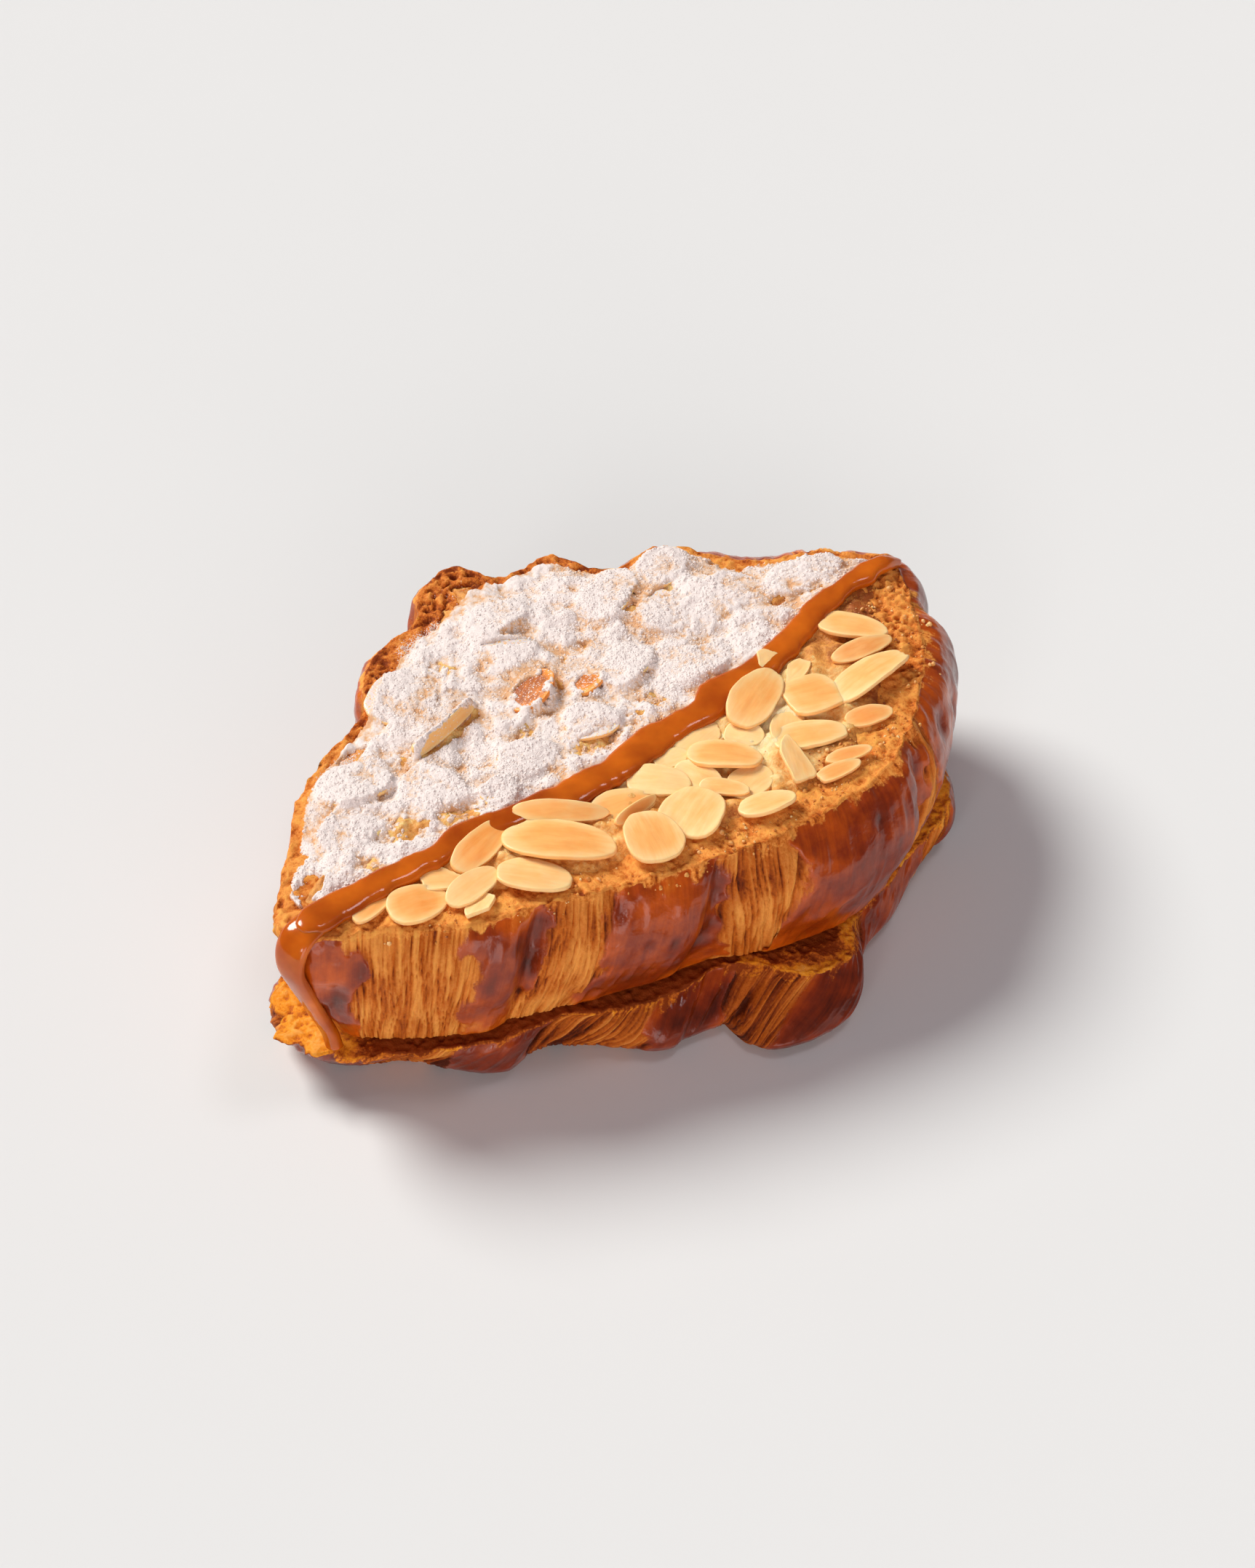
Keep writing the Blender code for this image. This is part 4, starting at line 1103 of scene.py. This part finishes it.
def strand_body(name, path, width, side, up, thick, sides):
    """A poured strand: a flat-topped ribbon with round shoulders along a path."""
    turn = np.linspace(0, 2 * math.pi, sides, endpoint=False)
    across = np.sign(np.cos(turn)) * np.abs(np.cos(turn)) ** 0.8
    lift = np.where(np.sin(turn) > 0, np.abs(np.sin(turn)) ** 0.75, -0.8 * np.abs(np.sin(turn)))
    rings = path[:, None] + across[None, :, None] * (width[:, None] / 2)[..., None] * side[:, None]
    rings = rings + (lift[None, :] * thick[:, None])[..., None] * up[:, None]
    return shaped_sphere(name, rings, path[0], path[-1], {})


def stripe_body(name, thick):
    """The caramel along the cut face, with its right end sunk over the rim."""
    x, near, far = open_curve(CARAMEL, STRIPE_ROWS).T
    line = raised(x[:, None], 0)
    near = near - STRIPE_WIDER[0] + noises(line, STRIPE_NEAR)
    far = far + STRIPE_WIDER[1] + noises(line, STRIPE_FAR)
    rounding = np.clip(np.minimum(x.max() - x, x - x.min()) / 3.0, 0, 1) ** 0.5
    flat = np.column_stack([x, (near + far) / 2])
    lift = CREAM_THICK + CARAMEL_LIFT - CARAMEL_SINK * np.clip((x - CARAMEL_TIP_X) / 4, 0, 1)
    path = raised(flat, cut_height(UPPER, flat) + lift)
    side, up = (np.tile(direction, (len(x), 1)) for direction in ([0.0, 1.0, 0.0], [0.0, 0.0, 1.0]))
    width = (far - near) * (0.25 + 0.75 * rounding)
    swell = thick * (1 + noises(line, STRIPE_SWELL)) * (0.5 + 0.5 * rounding)
    return strand_body(name, path, width, side, up, swell, STRIPE_SIDES)


def drip_body(name):
    """The end of the stripe that hangs over the left tip and stands on the lower half."""
    rows = open_curve(DRIP, DRIP_ROWS)
    path, width = rows[:, :3], rows[:, 3]
    run = unit(np.gradient(path, axis=0))
    side = np.tile(DRIP_ACROSS, (len(path), 1))
    side = unit(side - (side * run).sum(axis=1, keepdims=True) * run)
    thick = np.full(len(path), DRIP_THICK)
    return strand_body(name, path, width, side, np.cross(side, run), thick, DRIP_SIDES)


def height_under(pieces, x, y):
    """The height of the highest of the pieces at each place, in millimetres, or -1 beside them."""
    graph = bpy.context.evaluated_depsgraph_get()
    trees = [BVHTree.FromObject(piece, graph) for piece in pieces]
    fall = Vector((0, 0, -1))
    found = np.full(x.size, -1.0)
    for index, (a, b) in enumerate(zip(x.ravel(), y.ravel())):
        start = Vector(((a - ORIGIN[0]) * MM, (b - ORIGIN[1]) * MM, ABOVE_ALL))
        for tree in trees:
            hit = tree.ray_cast(start, fall)[0]
            if hit is not None:
                found[index] = max(found[index], hit.z / MM)
    return found.reshape(x.shape)


def beside(field):
    """The sum of the four neighbours of each place of a grid."""
    padded = np.pad(field, 1, mode="edge")
    return padded[:-2, 1:-1] + padded[2:, 1:-1] + padded[1:-1, :-2] + padded[1:-1, 2:]


def sugar_bounds(x):
    """Where the icing sugar starts, along the caramel, and where it ends, inside the far rim."""
    table = np.array(CARAMEL)
    near = np.interp(x, table[:, 0], table[:, 2]) - SUGAR_UNDER_CARAMEL
    line = raised(x[:, None], 0)
    far = np.interp(x, *np.array(SUGAR_FAR).T) + noises(line, SUGAR_EDGE)
    rim = Rim(UPPER.outline, 600).rim
    rim = rim[rim[:, 1] > FAR_SIDE]
    rim = np.array([rim[np.abs(rim[:, 0] - place) < 2.5][:, 1].min() for place in x])
    return near, np.maximum(np.minimum(far, rim - SUGAR_INSET), near + 1)


def sugar_missed(x, y):
    """How much of the icing sugar is missing where it fell thinly."""
    patches = 0.3 * noise(np.stack([x, y], axis=-1), 1.3, 106)
    total = 0
    for middle_x, middle_y, length, width, heading, missing in THIN_SUGAR:
        cosine, sine = math.cos(math.radians(heading)), math.sin(math.radians(heading))
        along = (x - middle_x) * cosine + (y - middle_y) * sine
        across = (y - middle_y) * cosine - (x - middle_x) * sine
        total = total + missing * 0.8 * ease(1.3, 0.6, np.hypot(along / length, across / width) + patches)
    return total


def sugar_body(name, beds, deep):
    """The icing sugar: a granular sheet draped over what lies under it, and sunk in it where bare."""
    x = np.linspace(*SUGAR_SPAN, SUGAR_ROWS)
    near, far = (edge[:, None] for edge in sugar_bounds(x))
    share = np.linspace(0, 1, SUGAR_COLUMNS)
    y = near + (far - near) * share
    x = np.repeat(x[:, None], len(share), axis=1)
    place = np.stack([x, y], axis=-1)
    bed = height_under(beds, x, y)
    bed = np.where(bed > 0, bed, cut_height(UPPER, place))
    steep = np.hypot(*np.gradient(bed)) / SUGAR_STEP
    soft = bed
    for _ in range(SUGAR_SMOOTHING):
        soft = np.maximum((soft * 2 + beside(soft)) / 6, bed - 0.1)
    wide = soft
    for _ in range(VALLEY_SMOOTHING):
        wide = beside(wide) / 4
    grains = 0.62 - pores(place, 1.15, 103)
    clumps = 0.8 * grains + noises(place, SUGAR_CLUMPS)
    thick = deep * (1.15 + clumps) - 0.2 * ease(1.2, 3.0, steep)
    thick = thick - 0.9 * (1 - ease(0, 1.2, far - y)) - sugar_missed(x, y)
    low = np.min([np.roll(bed, (a, b), (0, 1)) for a in (-1, 0, 1) for b in (-1, 0, 1)], axis=0)
    # where no sugar lies, the sheet dips under the lowest place beside it
    lying = ease(-0.15, 0.3, thick)
    height = (soft + thick) * lying + (low - 0.5) * (1 - lying)
    height = np.minimum(height, SUGAR_TOP + 0.3 * np.tanh((height - SUGAR_TOP) / 0.3))
    below = raised(place, np.minimum(height, bed) - SUGAR_ROOT)[:, ::-6]
    # thick and level places are white; cliffs and both borders are beige; high places are whiter and valleys
    # beige, which is painted shade
    cover_and_shade = 0.05 + noises(place, SUGAR_PATCHES) + 0.5 * clumps + np.minimum(thick / deep, 1.2) * 0.6
    cover_and_shade = cover_and_shade + 0.45 * np.tanh((soft - wide) / 0.35) - 0.5 * ease(1.4, 3.0, steep)
    cover_and_shade = cover_and_shade - 0.4 * ease(2.5, 0.3, y - near) - 0.5 * ease(2.4, 0.2, far - y)
    cover_and_shade = np.clip(cover_and_shade, -0.3, 1.3)
    cover_and_shade = np.concatenate([cover_and_shade, cover_and_shade[:, ::-6]], axis=1)
    rings = np.concatenate([raised(place, height), below], axis=1)
    left, right = rings[0].mean(axis=0), rings[-1].mean(axis=0)
    return shaped_sphere(name, rings, left - (0.2, 0, 0), right + (0.2, 0, 0), {"cover_and_shade": cover_and_shade})


def turned(first, second, angle):
    """Two coordinates after a turn by an angle in their plane."""
    return first * np.cos(angle) - second * np.sin(angle), first * np.sin(angle) + second * np.cos(angle)


def scattered(name, at, height, size, seed, uneven, sunk, fine=False, cover_and_shade=None):
    """Small balls at the given places, all in one mesh: dented ones, or fine ones of eight faces."""
    rng = np.random.default_rng(seed)
    form = bmesh.new()
    if fine:
        bmesh.ops.create_uvsphere(form, u_segments=4, v_segments=2, radius=1)
    else:
        bmesh.ops.create_icosphere(form, subdivisions=1, radius=1)
    one = bpy.data.meshes.new(name)
    form.to_mesh(one)
    ball = np.empty(len(one.vertices) * 3)
    one.vertices.foreach_get("co", ball)
    form.clear()
    for _ in at:
        form.from_mesh(one)
    mesh = bpy.data.meshes.new(name)
    form.to_mesh(mesh)
    form.free()
    bpy.data.meshes.remove(one)
    roll, heading = rng.uniform(0, 2 * math.pi, (2, len(at)))[..., None]
    stretch = rng.uniform(1 - 2.5 * uneven, 1 + 1.5 * uneven, (len(at), 1, 3)) * size[:, None, None] / 2
    dents = 1 + rng.uniform(-uneven, uneven, (len(at), len(ball) // 3, 1))
    x, y, z = np.moveaxis(ball.reshape(1, -1, 3) * stretch * dents, -1, 0)
    y, z = turned(y, z, roll)
    x, y = turned(x, y, heading)
    place = np.stack([x, y, z], axis=-1)
    place += raised(at - ORIGIN, height - size * sunk)[:, None]
    mesh.vertices.foreach_set("co", (place * MM).ravel())
    if cover_and_shade is not None:
        cover_and_shade = np.repeat(cover_and_shade, len(mesh.vertices) // len(at)).astype(np.float32)
        mesh.attributes.new("cover_and_shade", "FLOAT", "POINT").data.foreach_set("value", cover_and_shade)
    mesh.update()
    mesh.shade_smooth()
    return shown(name, mesh)


def mark_at(obj, mark, at, height):
    """The object's mark at the vertex nearest to each place."""
    lookup = KDTree(len(obj.data.vertices))
    for vertex in obj.data.vertices:
        lookup.insert(vertex.co, vertex.index)
    lookup.balance()
    values = obj.data.attributes[mark].data
    points = raised(at - ORIGIN, height) * MM
    return np.array([values[lookup.find(point)[1]].value for point in points])


def strewn(spots, count, seed):
    """Random places in patches: the middle, the half sizes and the share of each patch."""
    rng = np.random.default_rng(seed)
    spots = np.array(spots, float)
    chosen = spots[rng.choice(len(spots), count, p=spots[:, 4] / spots[:, 4].sum())]
    return chosen[:, :2] + rng.uniform(-1, 1, (count, 2)) * chosen[:, 2:4]


# Settings


def shade(name, description, code):
    """A colour setting with its default."""
    return bpy.props.FloatVectorProperty(
        name=name, description=description, default=linear(code), subtype="COLOR", size=3, min=0, max=1
    )


def length(name, description, millimetres):
    """A length setting with its default."""
    return bpy.props.FloatProperty(
        name=name, description=description, default=millimetres * MM, unit="LENGTH", min=0
    )


def strength(name, description, value):
    """A brightness setting with its default."""
    return bpy.props.FloatProperty(name=name, description=description, default=value, min=0)


class CroissantSettings(bpy.types.PropertyGroup):
    """Sizes and colours of the croissant and its stage"""

    layer_width: length("Layer spacing", "Spacing of the laminated layers", 1.1)
    layer_relief: length("Layer relief", "How far layers stand out", 0.7)
    layer_light: shade("Layer light", "Lightest page edges of the lamination", "#EE9E48")
    layer_mid: shade("Layer middle", "Middle tone of the lamination", "#C4661A")
    layer_dark: shade("Layer dark", "Shaded page edges of the lamination", "#8A3A08")
    skin_dark: shade("Glazed skin dark", "Well baked outer skin", "#862C02")
    skin_light: shade("Glazed skin light", "Lightly baked outer skin", "#C05204")
    upper_crumb: shade("Upper crumb", "Crumb round the cut face of the upper half", "#EC9A46")
    # the lower crumb's brighter, more saturated orange is partly a painted glow of light shining through it
    lower_crumb: shade("Lower crumb", "Crumb of the lower half, soaked with syrup", "#F29A20")
    dust_colour: shade("Dust", "Icing sugar dusted on crumb", "#E9D9CF")
    cream_colour: shade("Frangipane", "Almond cream between the flakes", "#F5D38C")
    almond_pale: shade("Almond edge", "Pale band at the edge of a flake", "#FFDC9C")
    almond_gold: shade("Almond heart", "Toasted heart of a flake", "#F8983C")
    almond_thick: length("Flake thickness", "Thickness of a flaked almond", 0.95)
    caramel_light: shade("Caramel light", "Milky parts of the caramel", "#D06A10")
    caramel_dark: shade("Caramel dark", "Clear parts of the caramel", "#A44604")
    caramel_thick: length("Caramel thickness", "Height of the stripe", 1.7)
    sugar_colour: shade("Icing sugar", "Dry clumps of icing sugar", "#ECE3DE")
    damp_sugar: shade("Damp sugar", "Icing sugar that took up butter", "#E6CFBC")
    sugar_deep: length("Sugar depth", "Usual depth of the icing sugar", 0.45)
    floor_colour: shade("Floor", "Paper sweep under the croissant", "#DEE2E2")
    key_power: strength("Key", "Strength of the softbox behind the croissant", 3.6)
    top_power: strength("Top", "Strength of the softbox overhead", 0.3)
    front_power: strength("Front", "Strength of the low reflector in front", 2.0)
    glint_power: strength("Glint", "Strength of the small lamp that glints on wet places", 0.24)
    room_light: strength("Room", "Brightness of the room round the stage", 0.115)


# Operators


class CROISSANT_OT_lower_crust(bpy.types.Operator):
    """Build the thin baked half underneath"""

    bl_idname = "croissant.lower_crust"
    bl_label = "Lower half"

    def execute(self, context):
        settings = context.scene.croissant
        obj = crust_body("lower_crust", LOWER, settings)
        material = baked_crust("baked_crust_lower", settings, settings.lower_crumb)
        placed(obj, material, "lower_half")
        return {"FINISHED"}


class CROISSANT_OT_upper_crust(bpy.types.Operator):
    """Build the thick baked half on top"""

    bl_idname = "croissant.upper_crust"
    bl_label = "Upper half"

    def execute(self, context):
        settings = context.scene.croissant
        obj = crust_body("upper_crust", UPPER, settings)
        material = baked_crust("baked_crust_upper", settings, settings.upper_crumb)
        placed(obj, material, "upper_half")
        return {"FINISHED"}


class CROISSANT_OT_frangipane(bpy.types.Operator):
    """Build the almond cream on the cut face"""

    bl_idname = "croissant.frangipane"
    bl_label = "Frangipane"

    def execute(self, context):
        obj = cream_body("frangipane")
        placed(obj, baked_frangipane("baked_frangipane", context.scene.croissant))
        return {"FINISHED"}


class CROISSANT_OT_flaked_almonds(bpy.types.Operator):
    """Build the flaked almonds, bare and sugared"""

    bl_idname = "croissant.flaked_almonds"
    bl_label = "Flaked almonds"

    def execute(self, context):
        settings = context.scene.croissant
        thick = settings.almond_thick / MM
        first = 0
        clean = toasted_almond("toasted_almond", settings)
        dusted = toasted_almond("dusted_almond", settings, -0.1)
        groups = (("bare_flakes", BARE_FLAKES, clean), ("sugared_flakes", SUGARED_FLAKES, dusted))
        for name, table, material in groups:
            flakes = [flake_body(first + index, Flake(*row), thick) for index, row in enumerate(table)]
            first += len(table)
            placed(joined(name, flakes), material)
        return {"FINISHED"}


class CROISSANT_OT_caramel(bpy.types.Operator):
    """Pour the caramel stripe and its drip"""

    bl_idname = "croissant.caramel"
    bl_label = "Caramel"

    def execute(self, context):
        settings = context.scene.croissant
        material = poured_caramel("poured_caramel", settings)
        stripe = stripe_body("caramel_stripe", settings.caramel_thick / MM)
        placed(stripe, material)
        placed(drip_body("caramel_drip"), material)
        return {"FINISHED"}


class CROISSANT_OT_icing_sugar(bpy.types.Operator):
    """Sift the icing sugar over the far side"""

    bl_idname = "croissant.icing_sugar"
    bl_label = "Icing sugar"

    def execute(self, context):
        settings = context.scene.croissant
        beds = objects("frangipane", "sugared_flakes", "upper_crust")
        obj = sugar_body("icing_sugar", beds, settings.sugar_deep / MM)
        placed(obj, sifted_sugar("sifted_sugar", settings))
        return {"FINISHED"}


class CROISSANT_OT_crumbs(bpy.types.Operator):
    """Scatter the loose crumbs and sugar clumps"""

    bl_idname = "croissant.crumbs"
    bl_label = "Crumbs"

    def execute(self, context):
        settings = context.scene.croissant
        rng = np.random.default_rng(8)
        bare = objects("frangipane", "upper_crust")
        at = strewn(CRUMB_SPOTS, CRUMBS, 5)
        bed = height_under(bare, *at.T)
        top = height_under(bare + objects("bare_flakes", "caramel_stripe"), *at.T)
        rests = (bed > UPPER_CUT_Z - 3) & (top <= bed)
        at, top = at[rests], top[rests]
        least, most = CRUMB_SIZE
        size = least + (most - least) * rng.random(len(at)) ** 4
        crumbs = scattered("loose_crumbs", at, top, size, 6, CRUMB_DENTS, -CRUMB_LIFT)
        placed(crumbs, loose_crumb("loose_crumb"))
        sheet = objects("icing_sugar")
        bare = objects("sugared_flakes", "frangipane", "upper_crust")
        for name, count, least, most, seed, fine in GRAIN_KINDS:
            at = strewn(SUGAR_SPOTS, int(count * TRIES), seed)
            top = height_under(sheet, *at.T)
            rests = top > height_under(bare, *at.T)
            at, top = at[rests][:count], top[rests][:count]
            size = least + (most - least) * rng.random(len(at)) ** 2
            cover_and_shade = mark_at(sheet[0], "cover_and_shade", at, top) + 0.1 + 0.5 * rng.random(len(at))
            grains = scattered(name, at, top, size, seed + 1, GRAIN_DENTS, GRAIN_SINK, fine, cover_and_shade)
            placed(grains, bpy.data.materials["sifted_sugar"])
        return {"FINISHED"}


class CROISSANT_OT_stage(bpy.types.Operator):
    """Set the floor, the soft lights and the camera"""

    bl_idname = "croissant.stage"
    bl_label = "Stage"

    def execute(self, context):
        settings = context.scene.croissant
        form = bmesh.new()
        bmesh.ops.create_grid(form, x_segments=1, y_segments=1, size=FLOOR_SIZE)
        mesh = bpy.data.meshes.new("floor")
        form.to_mesh(mesh)
        form.free()
        mesh.materials.append(matt_paper("matt_paper", settings))
        shown("floor", mesh)
        for name, azimuth, elevation, width, power, share, colour in LIGHTS:
            light = bpy.data.lights.new(name, "SUN")
            light.angle = math.radians(width)
            light.energy = getattr(settings, power) * share
            light.color = colour
            lamp = shown(name, light)
            lamp.visible_glossy = name != "front_fill"
            lamp.rotation_euler = (0, math.radians(90 - elevation), math.radians(azimuth))
        world = bpy.data.worlds.new("studio")
        world.use_nodes = True
        sky = world.node_tree.nodes["Background"]
        feed(world.node_tree, sky, {"Color": SKY, "Strength": settings.room_light})
        context.scene.world = world
        camera = bpy.data.cameras.new("camera")
        camera.lens, camera.sensor_width = LENS, SENSOR
        viewer = shown("camera", camera)
        viewer.location = CAMERA_PLACE
        viewer.rotation_euler = [math.radians(part) for part in CAMERA_TURN]
        context.scene.camera = viewer
        context.scene.view_settings.view_transform = "Standard"
        return {"FINISHED"}


STEPS = (
    CROISSANT_OT_lower_crust,
    CROISSANT_OT_upper_crust,
    CROISSANT_OT_frangipane,
    CROISSANT_OT_flaked_almonds,
    CROISSANT_OT_caramel,
    CROISSANT_OT_icing_sugar,
    CROISSANT_OT_crumbs,
    CROISSANT_OT_stage,
)


class CROISSANT_PT_pieces(bpy.types.Panel):
    """The pieces of the croissant and its settings"""

    bl_idname = "CROISSANT_PT_pieces"
    bl_label = "Almond croissant"
    bl_space_type = "VIEW_3D"
    bl_region_type = "UI"
    bl_category = "Croissant"

    def draw(self, context):
        for step in STEPS:
            self.layout.operator(step.bl_idname)
        for name in CroissantSettings.__annotations__:
            self.layout.prop(context.scene.croissant, name)


CLASSES = (CroissantSettings, *STEPS, CROISSANT_PT_pieces)


def register():
    for cls in CLASSES:
        bpy.utils.register_class(cls)
    bpy.types.Scene.croissant = bpy.props.PointerProperty(type=CroissantSettings)


def unregister():
    del bpy.types.Scene.croissant
    for cls in reversed(CLASSES):
        bpy.utils.unregister_class(cls)


def main():
    register()
    for step in STEPS:
        group, name = step.bl_idname.split(".")
        getattr(getattr(bpy.ops, group), name)()


if __name__ == "__main__":
    main()
